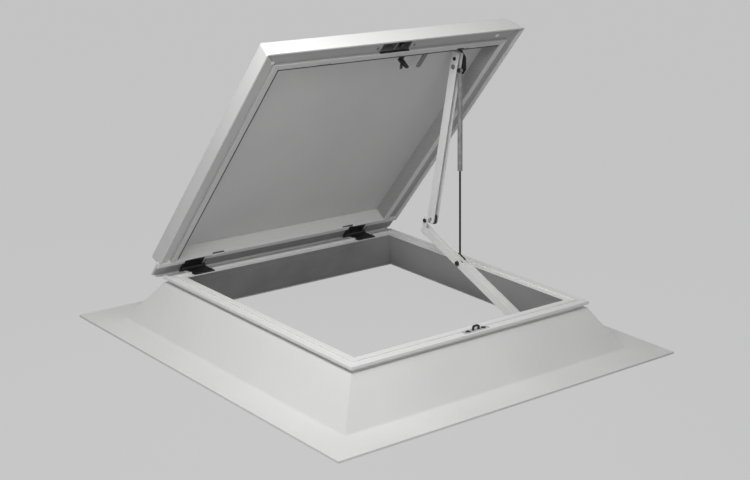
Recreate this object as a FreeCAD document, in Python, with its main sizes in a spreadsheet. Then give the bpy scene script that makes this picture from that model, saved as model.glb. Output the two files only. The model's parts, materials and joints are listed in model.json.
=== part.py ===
import FreeCAD
import Part
import math
import os
import re
import Sketcher

# Roof access hatch, millimetres.  The origin is the middle of the roof opening, on the underside of
# the roof flange.  +Z is up, the hinges are on the +Y side and the lock is on the -Y side.  The lid is
# drawn closed, then turned open about the hinge line; the folding stay is drawn as it stands open.
# Cutting outlines run 1 mm past the faces they open, and parts of one body overlap by 1 mm.

SIZES = [
    # upstand: a glass-fibre skin over foam, with a liner inside
    ("roof_opening", 1000, "clear width of the hole in the roof"),
    ("clear_opening", 800, "clear width at the top of the upstand"),
    ("curb_height", 150, "roof to the sealing face of the top frame"),
    ("flange_size", 1280, "outer width of the roof flange"),
    ("flange_thick", 6, "roof flange"),
    ("wall_foot", 38, "wall thickness, level, at the foot"),
    ("wall_head", 38, "wall thickness, level, under the top frame"),
    ("skin", 4, "glass-fibre skin"),
    ("liner", 3, "inner liner"),
    ("cove", 10, "radius between flange and wall"),
    # top frame of the upstand
    ("rail_height", 21, "height of the top frame"),
    ("nose_reach", 2.5, "nose beyond the wall"),
    ("nose_height", 9, "height of the nose"),
    ("neck_depth", 10, "shadow recess under the nose"),
    ("neck_height", 10, "height of the recess"),
    ("land_drop", 2, "inner land below the outer land"),
    ("seal_offset", 28, "clear edge to the middle of the seal"),
    ("seal_width", 6, "seal"),
    ("seal_fit", 0.3, "groove wider than the seal, each side"),
    ("groove_deep", 7, "seal groove"),
    ("seal_rise", 2.7, "seal above the sealing face"),
    ("seal_break", 0.5, "seal ends this far short of the hinge leaves"),
    ("rail_round", 1.5, "edges of the plastic rails"),
    # lid
    ("open_angle", 53, "lid as it stands open"),
    ("lid_gap", 3, "sealing face to the underside of the lid"),
    ("overhang_side", 76, "lid beyond the clear edge at the sides"),
    ("overhang_front", 82, "lid beyond the clear edge at the lock"),
    ("overhang_back", 90, "lid beyond the clear edge at the hinges"),
    ("lid_rail_side", 62, "side rails of the lid"),
    ("lid_rail_end", 66, "front and back rails of the lid"),
    ("skirt_height", 62, "lid edge"),
    ("skirt_flare", 19, "skirt leans out towards its foot"),
    ("lid_skin", 5, "glass-fibre cap"),
    ("edge_round", 7, "top edge of the cap"),
    ("bead_width", 18, "bead that lands on the seal"),
    ("lid_groove", 8, "groove between bead and skirt"),
    ("slot_length", 44, "drain slot in the lip of a lid rail"),
    ("slot_deep", 6, "drain slot into the rail"),
    ("slot_high", 5, "drain slot above the underside of the lid"),
    ("slot_x", 258, "drain slots from the middle"),
    ("glue_gap", 0.2, "between the cap and the rails"),
    ("panel_deep", 47, "underside of the lid up to the inner panel"),
    ("rail_taper", 4, "draft of the inner faces"),
    ("panel_thick", 3, "inner panel"),
    ("panel_seat", 26, "panel over the rails"),
    ("crown_rise", 16, "low pyramid of the cap"),
    ("crown_flat", 360, "flat in the middle of the cap"),
    ("rim_flat", 2, "flat between the rounded edge and the crown"),
    ("back_lip", 5, "drip lip of the back rail"),
    ("back_sheet", 4, "back rail above its groove"),
    ("back_tuck", 54, "back skirt set in from the back rail's edge at its foot"),
    ("back_top", 22, "back skirt set in at its top"),
    ("corner_cut_x", 30, "clipped back corners, along X"),
    ("corner_cut_y", 8, "clipped back corners, along Y"),
    # hinges
    ("hinge_back", 70, "clear edge to the hinge line"),
    ("hinge_rise", 2, "hinge line above the sealing face"),
    ("hinge_spacing", 644, "hinge to hinge"),
    ("knuckle_radius", 6, "hinge knuckles"),
    ("pin_radius", 3, "hinge pins"),
    ("pin_fit", 0.05, "running clearance on a pin"),
    ("leaf_thick", 2.5, "hinge leaves"),
    ("leaf_proud", 0.5, "lower leaf above the sealing face"),
    ("leaf_left", 47, "lower leaf to the left of the hinge middle"),
    ("leaf_right", 28, "lower leaf to the right of the hinge middle"),
    ("leaf_upper_left", 57, "upper leaf to the left of the hinge middle"),
    ("leaf_upper_right", 14, "upper leaf to the right of the hinge middle"),
    ("leaf_inset", 9, "clear edge to the lower leaf"),
    ("leaf_upper_in", 42, "upper leaf in front of the hinge line"),
    ("leaf_upper_out", 14.7, "upper leaf behind the hinge line"),
    ("knuckle_split", 10, "upper knuckle ends right of the hinge middle"),
    ("knuckle_gap", 0.3, "clearance between hinge parts"),
    ("knuckle_notch", 2, "leaves end this far short of the other leaf's knuckle"),
    ("leaf_round", 5, "corners of the leaves"),
    ("pin_head", 1.5, "head of a hinge pin, beyond the pin all round"),
    ("packer_inset", 3, "packer inside the ends of the upper leaf"),
    # strike and lock
    ("strike_x", 3, "middle of the strike"),
    ("strike_length", 98, "strike plate"),
    ("strike_width", 16, "strike plate"),
    ("strike_thick", 2, "strike plate"),
    ("strike_offset", 41, "clear edge to the middle of the strike"),
    ("staple_width", 26, "staple"),
    ("staple_height", 14.5, "staple above its plate"),
    ("staple_bar", 5, "staple bar"),
    ("staple_round", 3, "inner corners of the staple"),
    ("lock_left", 66, "lock case left of the middle"),
    ("lock_right", 42, "lock case right of the middle"),
    ("lock_wall", 2, "lock case wall"),
    ("lock_divider", 13, "divider left of the middle"),
    ("lock_high", 23, "lock case above the groove"),
    ("lock_in", 34, "clear edge to the lock case"),
    ("lock_out", 67, "clear edge to the far wall of the lock case"),
    ("lock_fit", 0.3, "clearance round the lock case and its parts"),
    ("bolt_width", 12, "lock bolt"),
    ("bolt_leg", 6, "leg of the lock bolt"),
    ("bolt_throw", 14, "travel of the lock bolt"),
    ("bolt_stop", 1.5, "thrown bolt short of the case wall"),
    ("bolt_lift", 2, "tongue above the strike plate"),
    ("bolt_over", 4, "shelf of the lock bolt over the staple"),
    ("lever_x", 132, "lever pivot"),
    ("lever_back", 40, "clear edge to the lever pivot"),
    ("lever_reach", 96, "lever from its pivot"),
    ("lever_width", 16, "lever"),
    ("lever_thick", 4, "lever"),
    ("lever_rise", 11, "lever above the underside of the lid"),
    ("lever_sweep", 40, "swing of the lever, degrees"),
    ("lever_mouth", 45, "lever slot, from the pivot to the rail's inner face"),
    ("spindle_top", 8, "top of the lever spindle below the panel"),
    ("spindle_radius", 4, "lever spindle"),
    ("fork_x", 27, "middle between the keeper's prongs"),
    ("fork_lean", 8, "neck to the right of the middle between the prongs"),
    ("fork_neck", 16, "neck of the keeper"),
    ("fork_spread", 24, "prong to prong at the tips"),
    ("fork_prong", 9, "keeper prongs"),
    ("fork_back", 3, "keeper prongs inside the clear edge"),
    ("fork_deep", 6, "keeper prongs, across the rail"),
    ("fork_down", 26, "keeper prongs below the lid"),
    ("fork_gap_top", 9, "gap between the prongs starts this far below the lid"),
    ("fork_shelf_low", 5, "keeper's arm above the underside of the lid"),
    ("fork_shelf_high", 10, "top of the keeper's arm"),
    ("fork_plate", 6, "keeper's plate on the rail"),
    ("fork_plate_top", 36, "top of the keeper's plate"),
    ("fork_hole", 3, "radius of the hole in the keeper"),
    # folding stay and gas spring
    ("stay_x", 281, "plane of the upper arm and gas spring"),
    ("foot_back", 14, "clear edge to the foot pivot, under the rail"),
    ("foot_height", 52, "foot pivot above the roof"),
    ("hanger_inset", 63, "clear edge to the hanger pivot"),
    ("hanger_drop", 44.6, "hanger pivot below the panel"),
    ("spring_forward", 5.5, "spring pivot in front of the hanger pivot"),
    ("spring_drop", 20.7, "spring pivot below the hanger pivot"),
    ("lower_length", 536, "lower arm, pivot to pivot"),
    ("upper_length", 495.7, "upper arm, pivot to pivot"),
    ("arm_tilt", 5.6, "channel of the lower arm to its pivot line, degrees"),
    ("arm_drop", 20, "foot pivot below the middle of the channel"),
    ("arm_depth", 25, "lower arm channel"),
    ("arm_sheet", 2, "sheet of both arms"),
    ("arm_left", 29, "lower arm left of the stay plane"),
    ("arm_mid", 10, "lower arm channel, right face left of the stay plane"),
    ("arm_right", 13, "tray right of the stay plane"),
    ("tray_lip", 14, "right lip of the tray"),
    ("tray_end", 362, "foot pivot to the end of the tray"),
    ("spring_foot", 377, "foot pivot to the lower spring pivot"),
    ("spring_fix", 355, "foot pivot to the bolt of the spring bracket"),
    ("bracket_half", 7, "spring bracket beyond its bolt and pivot"),
    ("bracket_top", 4, "spring bracket above the edge of the channel"),
    ("upper_width", 18, "upper arm channel"),
    ("upper_depth", 30, "upper arm channel"),
    ("stud_radius", 5, "pivot bolts"),
    ("head_radius", 8, "bolt heads"),
    ("head_thick", 5, "bolt heads"),
    ("washer_gap", 0.3, "side clearance between stay parts"),
    ("ear_thick", 3, "ears of foot and hanger"),
    ("ear_radius", 13, "ears round their pivots"),
    ("tube_radius", 7.5, "gas spring tube"),
    ("tube_wall", 1.5, "gas spring tube"),
    ("tube_start", 11, "spring pivot to the tube"),
    ("tube_length", 294, "gas spring tube"),
    ("guide_length", 12, "guide in the mouth of the tube"),
    ("rod_radius", 3, "gas spring rod"),
    ("piston_gap", 2, "piston above the guide with the lid open"),
    ("piston_length", 10, "piston"),
    ("piston_fit", 0.05, "piston in the tube"),
    ("eye_radius", 6.5, "eyes of the gas spring"),
    ("eye_thick", 8, "eyes of the gas spring"),
    ("eye_shank", 9, "rod eye along the rod"),
    ("neck_half", 4, "half width of the necks behind the eyes"),
    ("elbow_pin_radius", 3.5, "elbow pin"),
    ("knob_radius", 6, "elbow knob"),
    ("knob_length", 3.5, "elbow knob"),
    ("knob_standoff", 1, "bare pin between plate and knob"),
    ("elbow_end", 9, "metal round the elbow pin"),
    ("foot_plate", 22, "foot plate above and below its pivot"),
    ("foot_wing", 16, "foot plate beyond its ears"),
    ("hanger_front", 72, "hanger plate in front of the arm pivot"),
    ("hanger_back", 26, "back edge of the hanger plate in front of the arm pivot"),
    ("hanger_left", 16, "hanger plate to the left of the stay plane"),
    ("hanger_right", 44, "hanger plate to the right of the stay plane"),
    ("lug_front", 46, "front of the hanger lug from the arm pivot"),
    ("lug_edge", 10, "metal round the pivots in the hanger lug"),
    ("arm_top", 46, "upper arm beyond the hanger pivot"),
    ("arm_bolt", 25, "hanger pivot to the bolt at the top of the arm"),
    ("rivet_head", 2.5, "flat head of the spring bolt"),
    ("bar_end", 14, "upper arm beyond the elbow"),
    ("bar_round", 12, "ends of the upper arm"),
    ("sheet_round", 6, "corners of the folded sheet"),
]

doc = FreeCAD.newDocument("roof_access_hatch")
sheet = doc.addObject("Spreadsheet::Sheet", "Sizes")
for row, (alias, value, note) in enumerate(SIZES, start=1):
    sheet.set("A%d" % row, note)
    sheet.set("B%d" % row, str(value))
    sheet.setAlias("B%d" % row, alias)
doc.recompute()

ALIASES = {alias for alias, value, note in SIZES}
SUBPARTS = []
PLANES = {"x": "YZ_Plane", "y": "XZ_Plane", "z": "XY_Plane"}


def bound(formula):
    """Write a formula in the sheet's words as a document expression."""
    def name(match):
        word = match.group()
        return "Sizes." + word if word in ALIASES else word
    return re.sub(r"[a-z_][a-z_0-9]*", name, str(formula))


def number(alias):
    """One driving size, for the placements."""
    return float(sheet.get(alias))


# ------------------------------------------------------------------ features


def sub_part(label):
    body = doc.addObject("PartDesign::Body", label)
    body.Label = label
    SUBPARTS.append(body)
    return body


def blank_sketch(body, name, axis, offset="0"):
    sketch = body.newObject("Sketcher::SketchObject", body.Label + "_" + name)
    plane = [f for f in body.Origin.OriginFeatures if f.Role == PLANES[axis]][0]
    sketch.AttachmentSupport = [(plane, "")]
    sketch.MapMode = "FlatFace"
    sketch.setExpression("AttachmentOffset.Base.z", bound(offset))
    return sketch


def pin_point(sketch, geometry, position, u, v):
    """Hold one point of a sketch at a place given from the sketch's origin."""
    for kind, formula in (("DistanceX", u), ("DistanceY", v)):
        index = sketch.addConstraint(Sketcher.Constraint(kind, -1, 1, geometry, position, 1.0))
        sketch.setExpression("Constraints[%d]" % index, bound(formula))


def draw_loop(sketch, points, rounds):
    """Add one closed outline; rounds gives some corners a radius."""
    first = sketch.GeometryCount
    count = len(points)
    for i in range(count):
        turn = 2 * math.pi / count
        start = FreeCAD.Vector(math.cos(turn * i), math.sin(turn * i), 0)
        end = FreeCAD.Vector(math.cos(turn * (i + 1)), math.sin(turn * (i + 1)), 0)
        sketch.addGeometry(Part.LineSegment(start, end), False)
    for i in range(count):
        following = first + (i + 1) % count
        sketch.addConstraint(Sketcher.Constraint("Coincident", first + i, 2, following, 1))
    for i, (u, v) in enumerate(points):
        pin_point(sketch, first + i, 1, u, v)
    for corner, radius in rounds.items():
        doc.recompute()
        arc = sketch.GeometryCount
        sketch.fillet(first + corner, 1, 0.5, True, True)
        index = sketch.addConstraint(Sketcher.Constraint("Radius", arc, 0.5))
        sketch.setExpression("Constraints[%d]" % index, bound(radius))


def outline(body, name, axis, loops, offset="0", rounds=None):
    """A sketch of one or more closed outlines on a plane across the given axis."""
    sketch = blank_sketch(body, name, axis, offset)
    for points in loops:
        draw_loop(sketch, points, rounds or {})
    return sketch


def extrude(body, name, axis, sketch, start, end, cut):
    kind = "PartDesign::Pocket" if cut else "PartDesign::Pad"
    feature = body.newObject(kind, body.Label + "_" + name)
    feature.Profile = sketch
    feature.setExpression("Length", bound("(%s) - (%s)" % (end, start)))
    return feature


def base_offset(axis, start, end, cut):
    """Sketch height from which a pad or pocket fills start..end.

    A pad follows its plane's normal, +X, -Y or +Z, and a pocket goes against it.
    """
    from_start = (axis != "y") != cut
    place = start if from_start else end
    return "-(%s)" % place if axis == "y" else place


def prism(body, name, axis, points, start, end, rounds=None, cut=False):
    """Extrude a closed outline along an axis between two places."""
    offset = base_offset(axis, start, end, cut)
    sketch = outline(body, name + "_outline", axis, [points], offset, rounds)
    return extrude(body, name, axis, sketch, start, end, cut)


def disc(body, name, axis, centre, radius, start, end, cut=False):
    """A round pad or hole along an axis between two places."""
    sketch = blank_sketch(body, name + "_circle", axis, base_offset(axis, start, end, cut))
    up = FreeCAD.Vector(0, 0, 1)
    circle = sketch.addGeometry(Part.Circle(FreeCAD.Vector(1, 1, 0), up, 1), False)
    pin_point(sketch, circle, 3, *centre)
    index = sketch.addConstraint(Sketcher.Constraint("Radius", circle, 1.0))
    sketch.setExpression("Constraints[%d]" % index, bound(radius))
    return extrude(body, name, axis, sketch, start, end, cut)


def hexagon(body, name, centre, radius, start, end):
    """A bolt head or nut across the X axis; radius reaches its corners."""
    across, up = centre
    points = []
    for corner in range(6):
        turned_by = 60 * corner
        points.append(("%s + (%s) * cos(%d)" % (across, radius, turned_by),
                       "%s + (%s) * sin(%d)" % (up, radius, turned_by)))
    return prism(body, name, "x", points, start, end)


def box(x_from, x_to, y_from, y_to):
    return [(x_from, y_from), (x_to, y_from), (x_to, y_to), (x_from, y_to)]


def turned(body, name, profile):
    """Revolve a profile of (along, radius) points about the body's own Y axis."""
    sketch = outline(body, name + "_profile", "x", [profile])
    feature = body.newObject("PartDesign::Revolution", body.Label + "_" + name)
    feature.Profile = sketch
    feature.ReferenceAxis = (sketch, ["H_Axis"])
    feature.Angle = 360
    return feature


def square_sweep(body, name, profile, half):
    """Carry a profile of (distance from the middle, height) round a square, with mitred corners."""
    path = outline(body, name + "_path", "z", [box("-(%s)" % half, half, "-(%s)" % half, half)])
    section = outline(body, name + "_section", "y", [profile])
    doc.recompute()
    pipe = body.newObject("PartDesign::AdditivePipe", body.Label + "_" + name)
    pipe.Profile = section
    pipe.Spine = (path, ["Edge1", "Edge2", "Edge3", "Edge4"])
    pipe.Transition = "Right corner"
    return pipe


def block(body, name, low, high, cut=False):
    """A block with sloping sides between two level rectangles, each given as box and height."""
    kind = "PartDesign::SubtractiveWedge" if cut else "PartDesign::AdditiveWedge"
    wedge = body.newObject(kind, body.Label + "_" + name)
    plane = [f for f in body.Origin.OriginFeatures if f.Role == PLANES["y"]][0]
    wedge.AttachmentSupport = [(plane, "")]
    wedge.MapMode = "FlatFace"
    # the wedge rises along its own Y axis, and its own Z axis points to -Y
    for mark, (rectangle, height) in (("", low), ("2", high)):
        x_from, y_from = rectangle[0]
        x_to, y_to = rectangle[2]
        wedge.setExpression("X%smin" % mark, bound(x_from))
        wedge.setExpression("X%smax" % mark, bound(x_to))
        wedge.setExpression("Z%smin" % mark, bound("-(%s)" % y_to))
        wedge.setExpression("Z%smax" % mark, bound("-(%s)" % y_from))
        wedge.setExpression("Ymax" if mark else "Ymin", bound(height))
    return wedge


def round_edges(body, name, radius, chosen):
    """Fillet the edges of the body's tip whose middle point passes the test."""
    doc.recompute()
    tip = body.Tip
    names = []
    for i, edge in enumerate(tip.Shape.Edges, start=1):
        middle = edge.valueAt((edge.FirstParameter + edge.LastParameter) / 2)
        if chosen(edge, middle):
            names.append("Edge%d" % i)
    fillet = body.newObject("PartDesign::Fillet", body.Label + "_" + name)
    fillet.Base = (tip, names)
    fillet.setExpression("Radius", bound(radius))
    return fillet


# ------------------------------------------------------------------ shared places

CLEAR = "clear_opening / 2"
HINGE_Y = "(clear_opening / 2 + hinge_back)"
HINGE_Z = "(curb_height + hinge_rise)"
SHOULDER = "(curb_height - rail_height)"
UNDERSIDE = "(curb_height + lid_gap)"
PANEL = "(curb_height + lid_gap + panel_deep)"
GROOVE_ROOF = "(curb_height + lid_gap + lid_groove)"


def inner_wall(height):
    """Inner face of the upstand from the middle, at a height above the roof."""
    return "(roof_opening / 2 - (roof_opening - clear_opening) / 2 * (%s) / curb_height)" % height


HEAD = "(%s + wall_head)" % inner_wall(SHOULDER)
FOOT = "(roof_opening / 2 + wall_foot)"
WEB = "(%s - skin)" % SHOULDER
WEB_OUT = "(%s - skin + (%s - %s) * skin / (%s - flange_thick))" % (HEAD, FOOT, HEAD, SHOULDER)
WEB_IN = "(%s + liner)"
NOSE = "(%s + nose_reach)" % HEAD

# ------------------------------------------------------------------ upstand


def upstand_shell():
    """Roof flange, outer wall and the web over the foam, one moulding."""
    body = sub_part("upstand_shell")
    square_sweep(body, "moulding", [
        ("roof_opening / 2", "0"),
        ("flange_size / 2", "0"),
        ("flange_size / 2", "flange_thick"),
        (FOOT, "flange_thick"),
        (HEAD, SHOULDER),
        (WEB_IN % inner_wall(SHOULDER), SHOULDER),
        (WEB_IN % inner_wall(WEB), WEB),
        (WEB_OUT, WEB),
        (FOOT + " - skin", "flange_thick"),
        ("roof_opening / 2", "flange_thick"),
    ], "roof_opening / 2")
    foot = number("roof_opening") / 2 + number("wall_foot")
    flange = number("flange_thick")

    def at_root(edge, middle):
        level = abs(middle.z - flange) < 0.01
        return level and abs(max(abs(middle.x), abs(middle.y)) - foot) < 0.01

    round_edges(body, "cove", "cove", at_root)


def upstand_core():
    body = sub_part("upstand_core")
    square_sweep(body, "foam", [
        (WEB_IN % inner_wall("flange_thick"), "flange_thick"),
        (FOOT + " - skin", "flange_thick"),
        (WEB_OUT, WEB),
        (WEB_IN % inner_wall(WEB), WEB),
    ], "roof_opening / 2")


def upstand_liner():
    body = sub_part("upstand_liner")
    square_sweep(body, "sheet", [
        (inner_wall("flange_thick"), "flange_thick"),
        (WEB_IN % inner_wall("flange_thick"), "flange_thick"),
        (WEB_IN % inner_wall(SHOULDER), SHOULDER),
        (inner_wall(SHOULDER), SHOULDER),
    ], "roof_opening / 2")


# ------------------------------------------------------------------ top frame of the upstand

GROOVE_IN = "(clear_opening / 2 + seal_offset - seal_width / 2 - seal_fit)"
GROOVE_OUT = "(clear_opening / 2 + seal_offset + seal_width / 2 + seal_fit)"
INNER_LAND = "(curb_height - land_drop)"
NECK = "(%s - neck_depth)" % HEAD

CURB_RAIL = [
    (inner_wall(SHOULDER), SHOULDER),
    (inner_wall(INNER_LAND), INNER_LAND),
    (GROOVE_IN, INNER_LAND),
    (GROOVE_IN, "curb_height - groove_deep"),
    (GROOVE_OUT, "curb_height - groove_deep"),
    (GROOVE_OUT, "curb_height"),
    (NOSE, "curb_height"),
    (NOSE, "curb_height - nose_height"),
    (HEAD, SHOULDER + " + neck_height"),
    (NECK, SHOULDER + " + neck_height"),
    (NECK, SHOULDER),
]
CURB_ROUNDS = {6: "rail_round", 7: "rail_round"}


def facing(side, points):
    """Turn (distance, height) points to the +1 or -1 side of the middle."""
    return points if side > 0 else [("-(%s)" % d, z) for d, z in points]


def mitre(body, axis, inner, outer, low, high):
    """Cut both ends of a rail that runs along X or Y through its frame's corners.

    inner and outer are the frame's corner points at the rail's +end, as (along, across).
    """
    reach = []
    for share in (-0.5, 1.5):
        reach.append(tuple("(%s + %s * ((%s) - (%s)))" % (inner[i], share, outer[i], inner[i])
                           for i in (0, 1)))
    beyond = "(2 * (%s))" % outer[0]
    for end, sign in (("right", ""), ("left", "-")):
        corners = [reach[0], reach[1], (beyond, reach[1][1]), (beyond, reach[0][1])]
        points = [(sign + "(%s)" % along, across) for along, across in corners]
        if axis == "y":
            points = [(x, y) for y, x in points]
        prism(body, "mitre_" + end, "z", points, low, high, cut=True)


def curb_rail(label, axis, side, length):
    body = sub_part(label)
    plane = "x" if axis == "x" else "y"
    half = "(%s) / 2" % length
    prism(body, "extrusion", plane, facing(side, CURB_RAIL), "-" + half, half,
          rounds=CURB_ROUNDS)
    sign = "" if side > 0 else "-"
    inner = (CLEAR, "%s(%s)" % (sign, CLEAR))
    outer = (NOSE, "%s(%s)" % (sign, NOSE))
    mitre(body, axis, inner, outer, SHOULDER + " - 1", "curb_height + 1")
    return body


def hinge_middle(side):
    return "%shinge_spacing / 2" % ("" if side > 0 else "-")


def curb_rails():
    length = "2 * " + NOSE
    curb_rail("curb_rail_front", "x", -1, length)
    back = curb_rail("curb_rail_back", "x", 1, length)
    for side, name in ((-1, "left"), (1, "right")):
        middle = hinge_middle(side)
        prism(back, "leaf_seat_" + name, "z",
              box(middle + " - leaf_left", middle + " + leaf_right", CLEAR + " + leaf_inset",
                  NOSE + " + 1"),
              "curb_height + leaf_proud - leaf_thick", "curb_height + 1", cut=True)
    curb_rail("curb_rail_left", "y", -1, length)
    curb_rail("curb_rail_right", "y", 1, length)


SEAL = "(clear_opening / 2 + seal_offset)"
SEAL_PROFILE = [
    (SEAL + " - seal_width / 2", "curb_height - groove_deep"),
    (SEAL + " + seal_width / 2", "curb_height - groove_deep"),
    (SEAL + " + seal_width / 2", "curb_height + seal_rise"),
    (SEAL + " - seal_width / 2", "curb_height + seal_rise"),
]


def curb_seals():
    """A bulb seal on all four sides, broken only where the hinge leaves cross it."""
    body = sub_part("curb_seal")
    square_sweep(body, "bulb", SEAL_PROFILE, CLEAR)
    prism(body, "hinge_break", "z",
          box("-hinge_spacing / 2 - leaf_left - seal_break",
              "hinge_spacing / 2 + leaf_right + seal_break",
              "0", SEAL + " + 2 * seal_width"),
          "curb_height - groove_deep - 1", "curb_height + 2 * seal_rise", cut=True)
    middle = sub_part("curb_seal_back")
    prism(middle, "bulb", "x", SEAL_PROFILE,
          "-hinge_spacing / 2 + leaf_right + seal_break",
          "hinge_spacing / 2 - leaf_left - seal_break")


# ------------------------------------------------------------------ hinges

LEAF_TOP = "(curb_height + leaf_proud)"
BORE = "pin_radius + pin_fit"
LEAF_ROUNDS = {0: "leaf_round", 1: "leaf_round"}


def hinge(side, name):
    """A lift hinge: the lower leaf and pin on the upstand, the upper leaf in the lid."""
    middle = hinge_middle(side)
    left = middle + " - leaf_left"
    right = middle + " + leaf_right"
    start = middle + " - leaf_upper_left"
    split = middle + " + knuckle_split"
    behind = "%s - knuckle_radius - knuckle_notch" % HINGE_Y

    base = sub_part("hinge_base_" + name)
    prism(base, "plate", "z", box(left, right, CLEAR + " + leaf_inset", behind),
          LEAF_TOP + " - leaf_thick", LEAF_TOP, LEAF_ROUNDS)
    prism(base, "tongue", "z", box(split + " + knuckle_gap", right, behind + " - 1", HINGE_Y),
          LEAF_TOP + " - leaf_thick", LEAF_TOP)
    disc(base, "knuckle", "x", (HINGE_Y, HINGE_Z), "knuckle_radius",
         split + " + knuckle_gap", right)
    disc(base, "bore", "x", (HINGE_Y, HINGE_Z), BORE, split, right + " + 1", cut=True)

    pin = sub_part("hinge_pin_" + name)
    disc(pin, "shank", "x", (HINGE_Y, HINGE_Z), "pin_radius",
         start + " + knuckle_gap", right + " + knuckle_gap")
    disc(pin, "head", "x", (HINGE_Y, HINGE_Z), "pin_radius + pin_head",
         right + " + knuckle_gap", right + " + knuckle_gap + pin_head")

    leaf = sub_part("hinge_leaf_" + name)
    upper_end = middle + " + leaf_upper_right"
    front = HINGE_Y + " - leaf_upper_in"
    back = HINGE_Y + " + leaf_upper_out"
    prism(leaf, "plate", "z", box(start, upper_end, front, behind), UNDERSIDE,
          UNDERSIDE + " + leaf_thick")
    prism(leaf, "wing", "z", box(start, split, behind + " - 1", back), UNDERSIDE,
          UNDERSIDE + " + leaf_thick")
    prism(leaf, "packer", "z",
          box(start + " + packer_inset", split + " - packer_inset",
              LID_GROOVE_BACK + " + knuckle_gap", back + " - back_lip"),
          UNDERSIDE + " + leaf_thick - 1", GROOVE_ROOF)
    disc(leaf, "knuckle", "x", (HINGE_Y, HINGE_Z), "knuckle_radius", start, split)
    disc(leaf, "bore", "x", (HINGE_Y, HINGE_Z), BORE, start + " - 1", split + " + 1", cut=True)
    close_lid(leaf)


# ------------------------------------------------------------------ lid

LID_X = "(clear_opening / 2 + overhang_side)"
LID_FRONT = "(clear_opening / 2 + overhang_front)"
LID_BACK = "(clear_opening / 2 + overhang_back)"
RAIL_IN_X = "(%s - lid_rail_side)" % LID_X
RAIL_IN_FRONT = "(%s - lid_rail_end)" % LID_FRONT
RAIL_IN_BACK = "(%s - lid_rail_end)" % LID_BACK
LID_GROOVE_BACK = "(%s + bead_width)" % RAIL_IN_BACK
SHEET_TOP = "(lid_groove + back_sheet)"
LID_BODIES = []


def close_lid(body):
    """Sub-parts of the lid are drawn closed; this turns them open about the hinge line."""
    LID_BODIES.append(body)


def skirt(height):
    """How far the skirt has drawn in at a height above the underside."""
    return "(skirt_flare * (%s) / skirt_height)" % height


def back_skirt(height):
    """How far the back skirt is set in from the back rail's edge at a height."""
    rise = "((%s) - %s) / (skirt_height - %s)" % (height, SHEET_TOP, SHEET_TOP)
    return "(back_tuck - (back_tuck - back_top) * %s)" % rise


def cap_box(height, inset):
    """Plan of the cap, or of the hollow an inset inside it, at a height above the underside."""
    side = "(%s - %s - (%s))" % (LID_X, skirt(height), inset)
    front = "(%s - %s - (%s))" % (LID_FRONT, skirt(height), inset)
    back = "(%s - %s - (%s))" % (LID_BACK, back_skirt(height), inset)
    return box("-" + side, side, "-" + front, back)


def over(height):
    return "(%s + (%s))" % (UNDERSIDE, height)


CROWN = box("-crown_flat / 2", "crown_flat / 2", "-crown_flat / 2", "crown_flat / 2")


def lid_shell():
    """The moulded cap: skirts on three sides, a tucked-in back and a low pyramid on top."""
    body = sub_part("lid_shell")
    top = "skirt_height"
    block(body, "skirts", (cap_box("0", "0"), over("0")), (cap_box(top, "0"), over(top)))
    level = number("curb_height") + number("lid_gap") + number("skirt_height")

    def at_rim(edge, middle):
        return abs(edge.BoundBox.ZMax - level) < 0.01

    round_edges(body, "rim", "edge_round", at_rim)
    block(body, "crown", (cap_box(top, "edge_round + rim_flat"), over(top)),
          (CROWN, over("skirt_height + crown_rise")))
    inner_top = "skirt_height - lid_skin"
    block(body, "hollow", (cap_box("-1", "lid_skin"), over("-1")),
          (cap_box(inner_top, "lid_skin"), over(inner_top)), cut=True)
    block(body, "hollow_crown", (cap_box(inner_top, "lid_skin"), over(inner_top)),
          (CROWN, over("skirt_height + crown_rise - lid_skin")), cut=True)
    prism(body, "back_trim", "x",
          box(RAIL_IN_BACK + " - 1", LID_BACK + " + 1", over("-1"), over(SHEET_TOP)),
          "-%s - 1" % LID_X, LID_X + " + 1", cut=True)
    close_lid(body)


def lid_panel():
    body = sub_part("lid_panel")
    prism(body, "sheet", "z",
          box("-%s - panel_seat" % RAIL_IN_X, RAIL_IN_X + " + panel_seat",
              "-%s - panel_seat" % RAIL_IN_FRONT, RAIL_IN_BACK + " + panel_seat"),
          PANEL, PANEL + " + panel_thick")
    close_lid(body)


def lid_core():
    body = sub_part("lid_core")
    low = "panel_deep + panel_thick"
    top = "skirt_height - lid_skin"
    block(body, "foam", (cap_box(low, "lid_skin"), over(low)),
          (cap_box(top, "lid_skin"), over(top)))
    block(body, "crown", (cap_box(top, "lid_skin"), over(top)),
          (CROWN, over("skirt_height + crown_rise - lid_skin")))
    close_lid(body)


BEAD_ROUNDS = {2: "rail_round", 3: "rail_round"}


def lid_rail_points(edge, width):
    """Front or side rail as (distance from the middle, height): groove, bead and tapered face."""
    inner = "(%s - %s)" % (edge, width)
    skin_low = "(%s - lid_skin - glue_gap - %s)" % (edge, skirt("lid_groove"))
    skin_high = "(%s - lid_skin - glue_gap - %s)" % (edge, skirt("panel_deep"))
    return [
        (skin_low, over("lid_groove")),
        (inner + " + bead_width", over("lid_groove")),
        (inner + " + bead_width", over("0")),
        (inner, over("0")),
        (inner + " - rail_taper", over("panel_deep")),
        (skin_high, over("panel_deep")),
    ]


def drain_slots(body, low, high):
    """Two slots in the lip of the front or back rail, between two places along Y."""
    for name, sign in (("left", "-"), ("right", "")):
        middle = sign + "slot_x"
        prism(body, "slot_" + name, "z",
              box(middle + " - slot_length / 2", middle + " + slot_length / 2", low, high),
              over("-1"), over("slot_high"), cut=True)


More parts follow.
